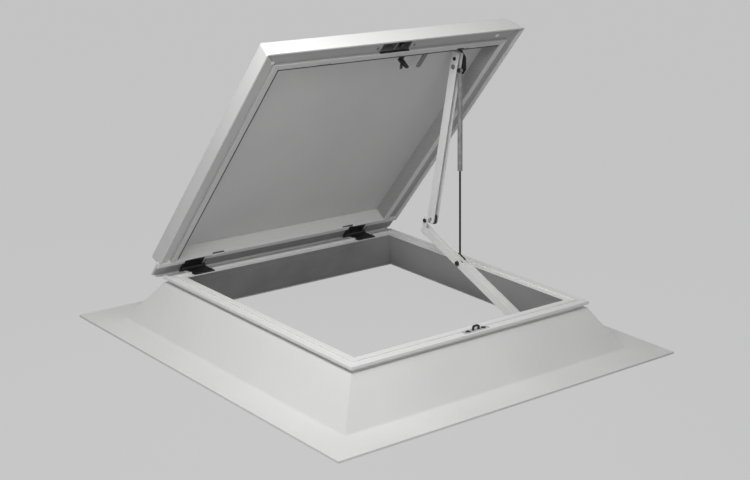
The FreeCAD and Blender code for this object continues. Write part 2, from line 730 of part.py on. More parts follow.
def lid_rail_front():
    body = sub_part("lid_rail_front")
    points = facing(-1, lid_rail_points(LID_FRONT, "lid_rail_end"))
    prism(body, "extrusion", "x", points, "-" + LID_X, LID_X, BEAD_ROUNDS)
    joint = "(%s - glue_gap)" % RAIL_IN_X
    corner = "(%s - (lid_rail_end - lid_rail_side) / 2)" % LID_X
    mitre(body, "x", (joint, "-" + RAIL_IN_FRONT), (corner, "-" + LID_FRONT),
          over("-1"), over("panel_deep + 1"))
    lock_in = "-(clear_opening / 2 + lock_in)"
    lock_out = "-(clear_opening / 2 + lock_out)"
    prism(body, "lock_seat", "z",
          box("-lock_left - lock_fit", "lock_right + lock_fit", lock_out + " - lock_fit",
              lock_in + " + lock_fit"),
          over("lid_groove - 1"), over("lid_groove + lock_high + lock_fit"), cut=True)
    pivot = "-(clear_opening / 2 + lever_back)"
    low = over("lever_rise - 1")
    high = over("lever_rise + lever_thick + 1")
    swept = "lever_x - lever_mouth * tan(lever_sweep) - 1.5 * lever_width"
    prism(body, "lever_slot", "z",
          [(swept, pivot + " + lever_mouth"),
           ("lever_x - lever_width", pivot + " - lever_width / 2"),
           ("lever_x + lever_width", pivot + " - lever_width / 2"),
           ("lever_x + lever_width", pivot + " + lever_mouth")],
          low, high, cut=True)
    disc(body, "hub_seat", "z", ("lever_x", pivot), "lever_width", low, high, cut=True)
    disc(body, "spindle_bore", "z", ("lever_x", pivot), "spindle_radius + pin_fit", high + " - 1",
         over("panel_deep - spindle_top + 1"), cut=True)
    drain_slots(body, "-%s - slot_deep" % RAIL_IN_FRONT, "-%s + 1" % RAIL_IN_FRONT)
    close_lid(body)


def lid_rail_side(side, name):
    body = sub_part("lid_rail_" + name)
    points = facing(side, lid_rail_points(LID_X, "lid_rail_side"))
    prism(body, "extrusion", "y", points, "-" + LID_FRONT, LID_BACK, BEAD_ROUNDS)
    sign = "" if side > 0 else "-"
    reach = []
    for share in (-0.5, 1.5):
        reach.append(("%s(%s + %s * (%s - %s))" % (sign, RAIL_IN_X, share, LID_X, RAIL_IN_X),
                      "-(%s + %s * (%s - %s))" % (RAIL_IN_FRONT, share, LID_FRONT, RAIL_IN_FRONT)))
    beyond = "-2 * " + LID_FRONT
    prism(body, "mitre", "z",
          [reach[0], reach[1], (reach[1][0], beyond), (reach[0][0], beyond)],
          over("-1"), over("panel_deep + 1"), cut=True)
    prism(body, "butt", "x",
          [(RAIL_IN_BACK, over("-1")), (RAIL_IN_BACK, over("0")),
           (RAIL_IN_BACK + " - rail_taper", over("panel_deep")),
           (RAIL_IN_BACK + " - rail_taper", over("panel_deep + 1")),
           (LID_BACK + " + 1", over("panel_deep + 1")),
           (LID_BACK + " + 1", over("-1"))],
          "-%s - 1" % LID_X, LID_X + " + 1", cut=True)
    close_lid(body)


def lid_rail_back():
    """The hinge rail: a flange with a drip lip behind, and an upright inside the tucked-in skirt."""
    body = sub_part("lid_rail_back")
    low_skin = "(%s - %s - lid_skin - glue_gap)" % (LID_BACK, back_skirt(SHEET_TOP))
    high_skin = "(%s - %s - lid_skin - glue_gap)" % (LID_BACK, back_skirt("panel_deep"))
    prism(body, "extrusion", "x", [
        (LID_BACK, over("0")),
        (LID_BACK, over(SHEET_TOP)),
        (low_skin, over(SHEET_TOP)),
        (high_skin, over("panel_deep")),
        (RAIL_IN_BACK + " - rail_taper", over("panel_deep")),
        (RAIL_IN_BACK, over("0")),
        (LID_GROOVE_BACK, over("0")),
        (LID_GROOVE_BACK, over("lid_groove")),
        (LID_BACK + " - back_lip", over("lid_groove")),
        (LID_BACK + " - back_lip", over("0")),
    ], "-" + LID_X, LID_X, rounds={corner: "rail_round" for corner in (1, 5, 6)})
    for name, sign in (("left", "-"), ("right", "")):
        skin_low = "%s(%s - lid_skin - glue_gap - %s)" % (sign, LID_X, skirt(SHEET_TOP))
        skin_high = "%s(%s - lid_skin - glue_gap - %s)" % (sign, LID_X, skirt("panel_deep + 1"))
        beyond = "%s(%s + 1)" % (sign, LID_X)
        prism(body, "end_" + name, "y",
              [(skin_low, over(SHEET_TOP)), (skin_high, over("panel_deep + 1")),
               (beyond, over("panel_deep + 1")), (beyond, over(SHEET_TOP))],
              RAIL_IN_BACK + " - rail_taper - 1", LID_BACK + " + 1", cut=True)
        corner = "%s%s" % (sign, LID_X)
        cut_in = "%s(%s - corner_cut_x)" % (sign, LID_X)
        prism(body, "clip_" + name, "z",
              [(cut_in, LID_BACK), (corner, LID_BACK + " - corner_cut_y"),
               (beyond, LID_BACK + " - corner_cut_y"), (beyond, LID_BACK + " + 1"),
               (cut_in, LID_BACK + " + 1")],
              over("-1"), over(SHEET_TOP + " + 1"), cut=True)
    for side, name in ((-1, "left"), (1, "right")):
        middle = hinge_middle(side)
        prism(body, "leaf_seat_" + name, "z",
              box(middle + " - leaf_upper_left", middle + " + leaf_upper_right",
                  HINGE_Y + " - leaf_upper_in", LID_GROOVE_BACK + " + 1"),
              over("-1"), over("leaf_thick"), cut=True)
    drain_slots(body, RAIL_IN_BACK + " - 1", RAIL_IN_BACK + " + slot_deep")
    close_lid(body)


# ------------------------------------------------------------------ strike and lock

STRIKE_Y = "(-(clear_opening / 2) - strike_offset)"
STAPLE_TOP = "(curb_height + strike_thick + staple_height)"


def strike():
    plate = sub_part("strike_plate")
    prism(plate, "plate", "z",
          box("strike_x - strike_length / 2", "strike_x + strike_length / 2",
              STRIKE_Y + " - strike_width / 2", STRIKE_Y + " + strike_width / 2"),
          "curb_height", "curb_height + strike_thick",
          rounds={corner: "strike_width / 3" for corner in range(4)})
    staple = sub_part("strike_staple")
    foot = "(curb_height + strike_thick)"
    left = "strike_x - staple_width / 2"
    right = "strike_x + staple_width / 2"
    low, high = STRIKE_Y + " - staple_bar / 2", STRIKE_Y + " + staple_bar / 2"
    prism(staple, "arch", "y", box(left, right, foot, STAPLE_TOP), low, high,
          rounds={2: "staple_bar + staple_round", 3: "staple_bar + staple_round"})
    prism(staple, "window", "y",
          box(left + " + staple_bar", right + " - staple_bar", foot + " - 1",
              STAPLE_TOP + " - staple_bar"), low + " - 1", high + " + 1",
          rounds={2: "staple_round", 3: "staple_round"}, cut=True)


LOCK_IN = "(-(clear_opening / 2) - lock_in)"
LOCK_OUT = "(-(clear_opening / 2) - lock_out)"


def lock_case():
    """A case of two cells let into the groove; the staple enters the right one."""
    body = sub_part("lock_case")
    low = "lid_groove"
    high = "lid_groove + lock_high"
    prism(body, "case", "z", box("-lock_left", "lock_right", LOCK_OUT, LOCK_IN),
          over(low), over(high))
    cells = (("left", "-lock_left + lock_wall", "-lock_divider - lock_wall"),
             ("right", "-lock_divider + lock_wall", "lock_right - lock_wall"))
    for name, start, end in cells:
        prism(body, "cell_" + name, "z",
              box(start, end, LOCK_OUT + " + lock_wall", LOCK_IN + " - lock_wall"),
              over(low + " - 1"), over(high + " - lock_wall"), cut=True)
    close_lid(body)


def lock_bolt():
    """A hook that slides towards the hinges, so that its tongue passes under the staple."""
    body = sub_part("lock_bolt")
    back = LOCK_OUT + " + lock_wall + lock_fit"
    tip = LOCK_IN + " - lock_wall - bolt_stop - bolt_throw"
    tongue_low = "(curb_height + strike_thick + bolt_lift)"
    tongue_high = "(%s - staple_bar - lock_fit)" % STAPLE_TOP
    ceiling = over("lid_groove + lock_high - lock_wall - lock_fit")
    shelf = "(%s + bolt_over)" % STAPLE_TOP
    prism(body, "hook", "x", [
        (back, tongue_low), (tip, tongue_low), (tip, tongue_high), (back + " + bolt_leg", tongue_high),
        (back + " + bolt_leg", shelf), (tip, shelf), (tip, ceiling), (back, ceiling),
    ], "strike_x - bolt_width / 2", "strike_x + bolt_width / 2", rounds={1: "bolt_lift"})
    close_lid(body)


def lock_lever():
    """A flat lever on a spindle in the front rail; it swings in the plane of the lid."""
    body = sub_part("lock_lever")
    pivot = "(-(clear_opening / 2) - lever_back)"
    low = over("lever_rise")
    high = over("lever_rise + lever_thick")
    prism(body, "blade", "z",
          box("lever_x - lever_width / 2", "lever_x + lever_width / 2", pivot,
              pivot + " + lever_reach"), low, high,
          rounds={2: "lever_width / 2 - 0.05", 3: "lever_width / 2 - 0.05"})
    disc(body, "hub", "z", ("lever_x", pivot), "lever_width * 0.75", low, high)
    disc(body, "spindle", "z", ("lever_x", pivot), "spindle_radius", high + " - 1",
         over("panel_deep - spindle_top"))
    close_lid(body)


def latch_fork():
    """The keeper on the rail's inner face, with two spread prongs that hang inside the opening."""
    body = sub_part("latch_fork")

    def face(height, off):
        return "(-%s + rail_taper * %s / panel_deep + lock_fit + %s)" % (RAIL_IN_FRONT, height, off)

    front = "(fork_back - clear_opening / 2)"
    back = front + " + fork_deep"
    neck = "(fork_x + fork_lean)"
    neck_left, neck_right = neck + " - fork_neck / 2", neck + " + fork_neck / 2"
    prism(body, "arm", "x", [
        (face("fork_shelf_low", "0"), over("fork_shelf_low")), (back, over("fork_shelf_low")),
        (back, over("fork_shelf_high")), (face("fork_shelf_high", "fork_plate"), over("fork_shelf_high")),
        (face("fork_plate_top", "fork_plate"), over("fork_plate_top")),
        (face("fork_plate_top", "0"), over("fork_plate_top")),
    ], neck_left, neck_right)
    outer, inner = "(fork_spread + fork_prong) / 2", "(fork_spread - fork_prong) / 2"
    tip = over("-fork_down")
    prism(body, "prongs", "y", [
        (neck_left, over("fork_shelf_high")), (neck_left, over("-fork_gap_top / 2")),
        ("fork_x - %s" % outer, tip), ("fork_x - %s" % inner, tip),
        ("fork_x", over("-fork_gap_top")), ("fork_x + %s" % inner, tip),
        ("fork_x + %s" % outer, tip), (neck_right, over("-fork_gap_top / 2")),
        (neck_right, over("fork_shelf_high"))], front, back)
    disc(body, "neck_hole", "y", (neck, over("0")), "fork_hole", front + " - 1", back + " + 1",
         cut=True)
    close_lid(body)


# ------------------------------------------------------------------ folding stay


def turn(point, angle):
    wide, tall = point
    c, s = math.cos(math.radians(angle)), math.sin(math.radians(angle))
    return wide * c - tall * s, wide * s + tall * c


def stay_places():
    """Where the stay's pivots lie in the YZ plane with the lid open."""
    clear = number("clear_opening") / 2
    hinge_line = (clear + number("hinge_back"), number("curb_height") + number("hinge_rise"))
    panel = number("curb_height") + number("lid_gap") + number("panel_deep")
    hanger = (number("hanger_inset") - clear, panel - number("hanger_drop"))
    spring = (hanger[0] - number("spring_forward"), hanger[1] - number("spring_drop"))
    opened = []
    for y, z in (hanger, spring):
        dy, dz = turn((y - hinge_line[0], z - hinge_line[1]), -number("open_angle"))
        opened.append((hinge_line[0] + dy, hinge_line[1] + dz))
    foot = (-clear - number("foot_back"), number("foot_height"))
    across, rise = opened[0][0] - foot[0], opened[0][1] - foot[1]
    span = math.hypot(across, rise)
    lower, upper = number("lower_length"), number("upper_length")
    along = (lower ** 2 - upper ** 2 + span ** 2) / (2 * span)
    bend = math.sqrt(lower ** 2 - along ** 2)
    elbow = (foot[0] + (along * across + bend * rise) / span,
             foot[1] + (along * rise - bend * across) / span)
    lower_angle = math.degrees(math.atan2(elbow[1] - foot[1], elbow[0] - foot[0]))
    lean = lower_angle - number("arm_tilt")
    dy, dz = turn((number("spring_foot"), number("arm_drop") - 1), lean)
    stud = (foot[0] + dy, foot[1] + dz)
    spring_span = math.hypot(opened[1][0] - stud[0], opened[1][1] - stud[1])
    mouth = spring_span - number("tube_start") - number("tube_length")
    rod = mouth + number("guide_length") + number("piston_gap") + number("piston_length")
    return {"hanger": opened[0], "spring": opened[1], "foot": foot, "elbow": elbow,
            "stud": stud, "lean": lean, "rod": rod}


def seat(body, place, towards=None, angle=0):
    """Put a stay part's own origin at a pivot, with its Y axis pointing at another pivot."""
    if towards:
        angle = math.degrees(math.atan2(towards[1] - place[1], towards[0] - place[0]))
    body.Placement = FreeCAD.Placement(
        FreeCAD.Vector(number("stay_x"), place[0], place[1]),
        FreeCAD.Rotation(FreeCAD.Vector(1, 0, 0), angle))


ARM_LEFT = "-arm_left"
MID_FACE = "-arm_mid"
FLOOR = "(arm_drop - arm_depth / 2)"
CHANNEL_TOP = "(arm_drop + arm_depth / 2)"
ELBOW_U = "(lower_length * cos(arm_tilt))"
ELBOW_V = "(lower_length * sin(arm_tilt))"


def lower_arm(places):
    """A folded channel with a tray beside it for the spring; the foot pivot is the origin."""
    body = sub_part("stay_lower_arm")
    end = ELBOW_U + " + elbow_end / 2"
    ear = "ear_radius"
    prism(body, "left_side", "x",
          [("-" + ear, CHANNEL_TOP), ("-" + ear, "-" + ear), (ear, "-" + ear), ("2 * " + ear, FLOOR),
           (end, FLOOR), (end, CHANNEL_TOP)],
          ARM_LEFT, ARM_LEFT + " + arm_sheet",
          rounds={1: "ear_radius - 1", 2: "ear_radius - 1", 5: "sheet_round"})
    prism(body, "right_side", "x",
          [("-" + ear, FLOOR + " + tray_lip"), ("-" + ear, "-" + ear), (ear, "-" + ear),
           ("2 * " + ear, FLOOR), ("tray_end", FLOOR), ("tray_end", FLOOR + " + tray_lip")],
          "arm_right - arm_sheet", "arm_right",
          rounds={1: "ear_radius - 1", 2: "ear_radius - 1", 5: "sheet_round"})
    start = "(2 * ear_radius)"
    prism(body, "channel_floor", "x",
          box(start, end + " - sheet_round", FLOOR, FLOOR + " + arm_sheet"),
          ARM_LEFT, MID_FACE)
    prism(body, "middle_side", "x", box(start, end, FLOOR, CHANNEL_TOP),
          MID_FACE + " - arm_sheet", MID_FACE)
    prism(body, "tray_floor", "x", box(start, "tray_end", FLOOR, FLOOR + " + arm_sheet"),
          MID_FACE + " - 1", "arm_right")
    disc(body, "foot_hole", "x", ("0", "0"), "stud_radius + pin_fit", ARM_LEFT + " - 1",
         "arm_right + 1", cut=True)
    disc(body, "stud_hole", "x", ("spring_fix", "arm_drop - 1"), "stud_radius + pin_fit",
         ARM_LEFT + " - 1", MID_FACE + " + 1", cut=True)
    seat(body, places["foot"], angle=places["lean"])

    plate = sub_part("stay_elbow_plate")
    outer = ARM_LEFT + " - ear_thick"
    prism(plate, "plate", "x",
          [(ELBOW_U + " - elbow_end", ELBOW_V + " + elbow_end"),
           (ELBOW_U + " - 1.5 * elbow_end", FLOOR + " + elbow_end / 2"),
           (ELBOW_U, FLOOR), (ELBOW_U + " + elbow_end", ELBOW_V + " + elbow_end")],
          outer, ARM_LEFT, rounds={0: "sheet_round", 3: "sheet_round"})
    disc(plate, "hole", "x", (ELBOW_U, ELBOW_V), "elbow_pin_radius + pin_fit", outer + " - 1",
         ARM_LEFT + " + 1", cut=True)
    seat(plate, places["foot"], angle=places["lean"])

    pin = sub_part("stay_elbow_pin")
    bare = outer + " - knob_standoff"
    disc(pin, "shank", "x", (ELBOW_U, ELBOW_V), "elbow_pin_radius", bare,
         "-upper_width / 2 - washer_gap")
    seat(pin, places["foot"], angle=places["lean"])

    knob = sub_part("stay_elbow_knob")
    disc(knob, "cap", "x", (ELBOW_U, ELBOW_V), "knob_radius", bare + " - knob_length", bare)
    seat(knob, places["foot"], angle=places["lean"])

    stud = sub_part("stay_spring_stud")
    fix = ("spring_fix", "(arm_drop - 1)")
    bracket_face = "(%s + ear_thick)" % MID_FACE
    hexagon(stud, "head", fix, "head_radius", ARM_LEFT + " - head_thick", ARM_LEFT)
    disc(stud, "shank", "x", fix, "stud_radius", ARM_LEFT, bracket_face)
    seat(stud, places["foot"], angle=places["lean"])

    bracket = sub_part("stay_spring_bracket")
    low, high = "arm_drop - 1 - bracket_half", CHANNEL_TOP + " + bracket_top"
    prism(bracket, "plate", "x",
          box("spring_fix - bracket_half", "spring_foot + bracket_half", low, high),
          MID_FACE, bracket_face, rounds={2: "bracket_half", 3: "bracket_half / 2"})
    disc(bracket, "hole", "x", fix, "stud_radius + pin_fit", MID_FACE + " - 1",
         bracket_face + " + 1", cut=True)
    disc(bracket, "boss", "x", ("spring_foot", fix[1]), "stud_radius", bracket_face + " - 1",
         "-eye_thick / 2 - washer_gap")
    seat(bracket, places["foot"], angle=places["lean"])


def foot_bracket(places):
    """Two ears off a plate on the sloping inner wall, with the foot bolt through them."""
    body = sub_part("stay_foot")
    slope = "((roof_opening - clear_opening) / 2 / curb_height)"
    pivot_y = "(-(clear_opening / 2) - foot_back)"
    low, high = "(foot_height - foot_plate)", "(foot_height + foot_plate)"

    def wall(height, off):
        return "(-%s + %s)" % (inner_wall(height), off)

    left = "stay_x - arm_left - washer_gap - ear_thick"
    right = "stay_x + arm_right + washer_gap + ear_thick"
    prism(body, "plate", "x",
          [(wall(low, "0"), low), (wall(low, "ear_thick"), low),
           (wall(high, "ear_thick"), high), (wall(high, "0"), high)],
          left + " - foot_wing", right + " + foot_wing")
    ear = [(wall(low, "1"), low), (pivot_y + " + ear_radius", "foot_height - ear_radius"),
           (pivot_y + " + ear_radius", "foot_height + ear_radius"), (wall(high, "1"), high)]
    rounds = {1: "ear_radius - 1", 2: "ear_radius - 1"}
    prism(body, "ear_left", "x", ear, left, left + " + ear_thick", rounds)
    prism(body, "ear_right", "x", ear, right + " - ear_thick", right, rounds)
    disc(body, "bolt_hole", "x", (pivot_y, "foot_height"), "stud_radius + pin_fit",
         left + " - 1", right + " + 1", cut=True)

    bolt = sub_part("stay_foot_bolt")
    centre = (pivot_y, "foot_height")
    disc(bolt, "shank", "x", centre, "stud_radius", left, right)
    hexagon(bolt, "head", centre, "head_radius", left + " - head_thick", left)
    hexagon(bolt, "nut", centre, "head_radius", right, right + " + head_thick")


def upper_arm(places):
    """A deep channel open towards the lock; the hanger pivot is the origin."""
    body = sub_part("stay_upper_arm")
    half = "upper_width / 2"
    end = "upper_length"
    deep = "upper_depth / 2"
    prism(body, "bar", "x",
          box("-arm_top", end + " + bar_end", "-" + deep, deep), "-" + half, half,
          rounds={1: "bar_round", 2: "bar_round"})
    prism(body, "channel", "x",
          box("-arm_top - 1", end + " + bar_end + 1", "-%s - 1" % deep, deep + " - arm_sheet"),
          "-%s + arm_sheet" % half, half + " - arm_sheet", cut=True)
    for name, along in (("hanger", "0"), ("elbow", end)):
        disc(body, name + "_hole", "x", (along, "0"), "stud_radius + pin_fit",
             "-%s - 1" % half, half + " + 1", cut=True)
    disc(body, "top_hole", "x", ("-arm_bolt", "0"), "elbow_pin_radius + pin_fit",
         "-%s - 1" % half, "0", cut=True)
    seat(body, places["hanger"], places["elbow"])

    foot = sub_part("stay_arm_foot")
    inside = half + " - arm_sheet"
    prism(foot, "filling", "x",
          box(end + " - bar_end", end + " + bar_end - arm_sheet", "-%s + arm_sheet" % deep,
              deep + " - arm_sheet"), "-(%s)" % inside, inside,
          rounds={2: "bar_round - arm_sheet"})
    disc(foot, "hole", "x", (end, "0"), "stud_radius + pin_fit", "-" + half, half, cut=True)
    seat(foot, places["hanger"], places["elbow"])

    bolt = sub_part("stay_elbow_bolt")
    disc(bolt, "shank", "x", (end, "0"), "stud_radius", "-" + half, half)
    hexagon(bolt, "nut", (end, "0"), "head_radius", half, half + " + head_thick")
    seat(bolt, places["hanger"], places["elbow"])

    top = sub_part("stay_arm_bolt")
    disc(top, "shank", "x", ("-arm_bolt", "0"), "elbow_pin_radius", "-" + half,
         "-%s + arm_sheet" % half)
    hexagon(top, "head", ("-arm_bolt", "0"), "head_radius * 0.75", "-%s - rivet_head" % half,
            "-" + half)
    hexagon(top, "nut", ("-arm_bolt", "0"), "head_radius * 0.75", "-%s + arm_sheet" % half,
            "-%s + arm_sheet + rivet_head" % half)
    seat(top, places["hanger"], places["elbow"])


HANGER_Y = "(hanger_inset - clear_opening / 2)"
HANGER_Z = "(%s - hanger_drop)" % PANEL
SPRING_Y = "(%s - spring_forward)" % HANGER_Y
SPRING_Z = "(%s - spring_drop)" % HANGER_Z


def hanger():
    """A plate under the lid's inner panel and one curved lug, right of the arm, with both pivots."""
    body = sub_part("stay_hanger")
    arm_face = "(stay_x + upper_width / 2)"
    lug_left = "(%s + washer_gap)" % arm_face
    lug_right = "(%s + ear_thick)" % lug_left
    front, back = HANGER_Y + " - hanger_front", HANGER_Y + " - hanger_back"
    prism(body, "plate", "z",
          box("stay_x - hanger_left", "stay_x + hanger_right", front, back),
          PANEL + " - ear_thick", PANEL)
    nose = HANGER_Y + " - lug_front"
    prism(body, "lug", "x", [
        (nose + " - lug_edge / 2", PANEL + " - 1"),
        (nose, HANGER_Z + " + 1.5 * lug_edge"),
        (nose + " + 2", HANGER_Z + " - lug_edge / 2"),
        (SPRING_Y + " - lug_edge", SPRING_Z + " - lug_edge"),
        (SPRING_Y + " + lug_edge", SPRING_Z + " - lug_edge"),
        (HANGER_Y + " + lug_edge", HANGER_Z),
        (HANGER_Y + " + lug_edge / 2", HANGER_Z + " + lug_edge"),
        (HANGER_Y + " - hanger_back", HANGER_Z + " + lug_edge / 2"),
        (back, PANEL + " - 1"),
    ], lug_left, lug_right, rounds={1: "lug_edge", 2: "leaf_round", 3: "leaf_round", 4: "leaf_round"})
    for name, centre in (("arm", (HANGER_Y, HANGER_Z)), ("spring", (SPRING_Y, SPRING_Z))):
        disc(body, name + "_hole", "x", centre, "stud_radius + pin_fit", lug_left + " - 1",
             lug_right + " + 1", cut=True)
    close_lid(body)

    bolt = sub_part("stay_hanger_bolt")
    centre = (HANGER_Y, HANGER_Z)
    left = "(stay_x - upper_width / 2 - washer_gap)"
    disc(bolt, "shank", "x", centre, "stud_radius", left, lug_right)
    hexagon(bolt, "head", centre, "head_radius", left + " - rivet_head", left)
    hexagon(bolt, "nut", centre, "head_radius", lug_right, lug_right + " + head_thick")
    close_lid(bolt)

    bolt = sub_part("stay_spring_bolt")
    centre = (SPRING_Y, SPRING_Z)
    left = "(stay_x - eye_thick / 2 - washer_gap)"
    disc(bolt, "shank", "x", centre, "stud_radius", left, lug_right)
    hexagon(bolt, "head", centre, "stud_radius + pin_head", left + " - rivet_head", left)
    hexagon(bolt, "nut", centre, "head_radius", lug_right, lug_right + " + head_thick")
    close_lid(bolt)


TUBE_BORE = "(tube_radius - tube_wall)"


def gas_spring(places):
    """The tube hangs from the lid and slides over the rod, which stands on the lower arm."""
    tube = sub_part("gas_tube")
    far = "(tube_start + tube_length)"
    turned(tube, "wall", [
        ("tube_start", "0"), (far, "0"), (far, "tube_radius"), ("tube_start", "tube_radius")])
    doc.recompute()
    sketch = outline(tube, "bore_profile", "x", [[
        ("tube_start + tube_wall", "0"), (far + " + 1", "0"), (far + " + 1", TUBE_BORE),
        ("tube_start + tube_wall", TUBE_BORE)]])
    groove = tube.newObject("PartDesign::Groove", "gas_tube_bore")
    groove.Profile = sketch
    groove.ReferenceAxis = (sketch, ["H_Axis"])
    groove.Angle = 360
    seat(tube, places["spring"], places["stud"])

    guide = sub_part("gas_guide")
    turned(guide, "ring", [
        (far + " - guide_length", "rod_radius + pin_fit"), (far, "rod_radius + pin_fit"),
        (far, TUBE_BORE), (far + " - guide_length", TUBE_BORE)])
    seat(guide, places["spring"], places["stud"])

    eye = sub_part("gas_tube_eye")
    half = "eye_thick / 2"
    disc(eye, "eye", "x", ("0", "0"), "eye_radius + 1", "-" + half, half)
    prism(eye, "neck", "x", box("0", "tube_start", "-neck_half", "neck_half"), "-" + half, half)
    disc(eye, "hole", "x", ("0", "0"), "stud_radius + pin_fit", "-upper_width", "upper_width",
         cut=True)
    seat(eye, places["spring"], places["stud"])

    tip = "%.3f" % places["rod"]
    rod = sub_part("gas_rod")
    disc_end = tip + " - piston_length"
    turned(rod, "rod", [
        ("eye_shank", "0"), (disc_end, "0"), (disc_end, "rod_radius"), ("eye_shank", "rod_radius")])
    seat(rod, places["stud"], places["spring"])

    piston = sub_part("gas_piston")
    bore = TUBE_BORE + " - piston_fit"
    turned(piston, "disc", [(disc_end, "0"), (tip, "0"), (tip, bore), (disc_end, bore)])
    seat(piston, places["stud"], places["spring"])

    foot = sub_part("gas_rod_eye")
    disc(foot, "eye", "x", ("0", "0"), "eye_radius", "-" + half, half)
    prism(foot, "neck", "x", box("0", "eye_shank", "-neck_half", "neck_half"), "-" + half, half)
    seat(foot, places["stud"], places["spring"])


# ------------------------------------------------------------------ build

upstand_shell()
upstand_core()
upstand_liner()
curb_rails()
curb_seals()
for hinge_side, hinge_name in ((-1, "left"), (1, "right")):
    hinge(hinge_side, hinge_name)
lid_shell()
lid_panel()
lid_core()
lid_rail_front()
lid_rail_back()
lid_rail_side(-1, "left")
lid_rail_side(1, "right")
strike()
lock_case()
lock_bolt()
lock_lever()
latch_fork()
hanger()
stay = stay_places()
foot_bracket(stay)
lower_arm(stay)
upper_arm(stay)
gas_spring(stay)

open_lid = bound("placement(vector(0; 0; 0); rotation(vector(1; 0; 0); -open_angle); "
                 "vector(0; %s; %s))" % (HINGE_Y, HINGE_Z))
for lid_body in LID_BODIES:
    lid_body.setExpression("Placement", open_lid)
doc.recompute()

for item in doc.Objects:
    if "Invalid" in item.State or "Error" in item.State:
        raise RuntimeError("%s failed: %s" % (item.Name, item.State))
for sub in SUBPARTS:
    if sub.Shape.isNull() or not sub.Shape.isValid():
        raise RuntimeError(sub.Label + " has no valid shape")

os.makedirs("parts", exist_ok=True)
for sub in SUBPARTS:
    sub.Shape.exportStep("parts/%s.step" % sub.Label)
    print("%-20s %2d solid %10.1f mm3" % (sub.Label, len(sub.Shape.Solids), sub.Shape.Volume))
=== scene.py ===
import json
import math

import bmesh
import bpy
from mathutils import Matrix, Vector


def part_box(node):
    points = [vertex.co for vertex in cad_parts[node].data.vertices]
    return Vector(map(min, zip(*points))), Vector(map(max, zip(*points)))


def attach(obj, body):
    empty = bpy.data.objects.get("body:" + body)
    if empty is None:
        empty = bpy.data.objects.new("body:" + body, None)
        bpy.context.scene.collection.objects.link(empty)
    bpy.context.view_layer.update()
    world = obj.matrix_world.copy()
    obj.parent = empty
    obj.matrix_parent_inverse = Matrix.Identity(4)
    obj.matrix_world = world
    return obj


# The looks of a roof access hatch, in metres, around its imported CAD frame.
# +Z is up, the hinges are on the +Y side, and the lid stands open.

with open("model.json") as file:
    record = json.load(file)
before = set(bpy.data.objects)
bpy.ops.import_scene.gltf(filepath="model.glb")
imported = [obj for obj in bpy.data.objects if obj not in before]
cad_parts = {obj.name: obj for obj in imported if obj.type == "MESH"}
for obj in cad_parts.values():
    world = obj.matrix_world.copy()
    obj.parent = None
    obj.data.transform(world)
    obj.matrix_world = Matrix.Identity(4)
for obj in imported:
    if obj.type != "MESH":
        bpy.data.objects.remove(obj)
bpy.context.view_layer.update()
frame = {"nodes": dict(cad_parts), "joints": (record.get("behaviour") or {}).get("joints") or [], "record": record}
NODES = frame["nodes"]
SCENE = bpy.context.scene

# OPENED turns what is drawn on the shut lid up with the open lid, and SHUT turns it back.
HINGE = next(joint for joint in frame["joints"] if joint["name"] == "lid_hinge")
HINGE_AT = Vector(HINGE["pos_m"])
OPENED = (Matrix.Translation(HINGE_AT)
          @ Matrix.Rotation(-math.radians(HINGE["range_deg"][1]), 4, "X")
          @ Matrix.Translation(-HINGE_AT))
SHUT = OPENED.inverted()
AS_BUILT = Matrix.Identity(4)
FACING_DOWN = Matrix.Rotation(math.pi, 4, "X")

WALL_SLOPE = 2 / 3      # how far the upstand's inner walls lean in for their height
OPENING_FOOT = 0.500    # half the opening in the roof, where the inner walls start
BEAD_FOOT = 0.153       # underside of the lid's bead when the lid is shut

# ------------------------------------------------------------------ node helpers

NOISE_MIDDLE = (0.3, 0.7)                       # nearly all of a noise's values lie between these
COLOUR_A, COLOUR_B, COLOUR_MIXED = 6, 7, 2      # the colour sockets' places on a Mix node


def maths(tree, operation, first, second):
    """The result of a Math node on two values, each a number or a socket."""
    node = tree.nodes.new("ShaderNodeMath")
    node.operation = operation
    for socket, value in zip(node.inputs, (first, second)):
        if isinstance(value, (int, float)):
            socket.default_value = value
        else:
            tree.links.new(value, socket)
    return node.outputs["Value"]


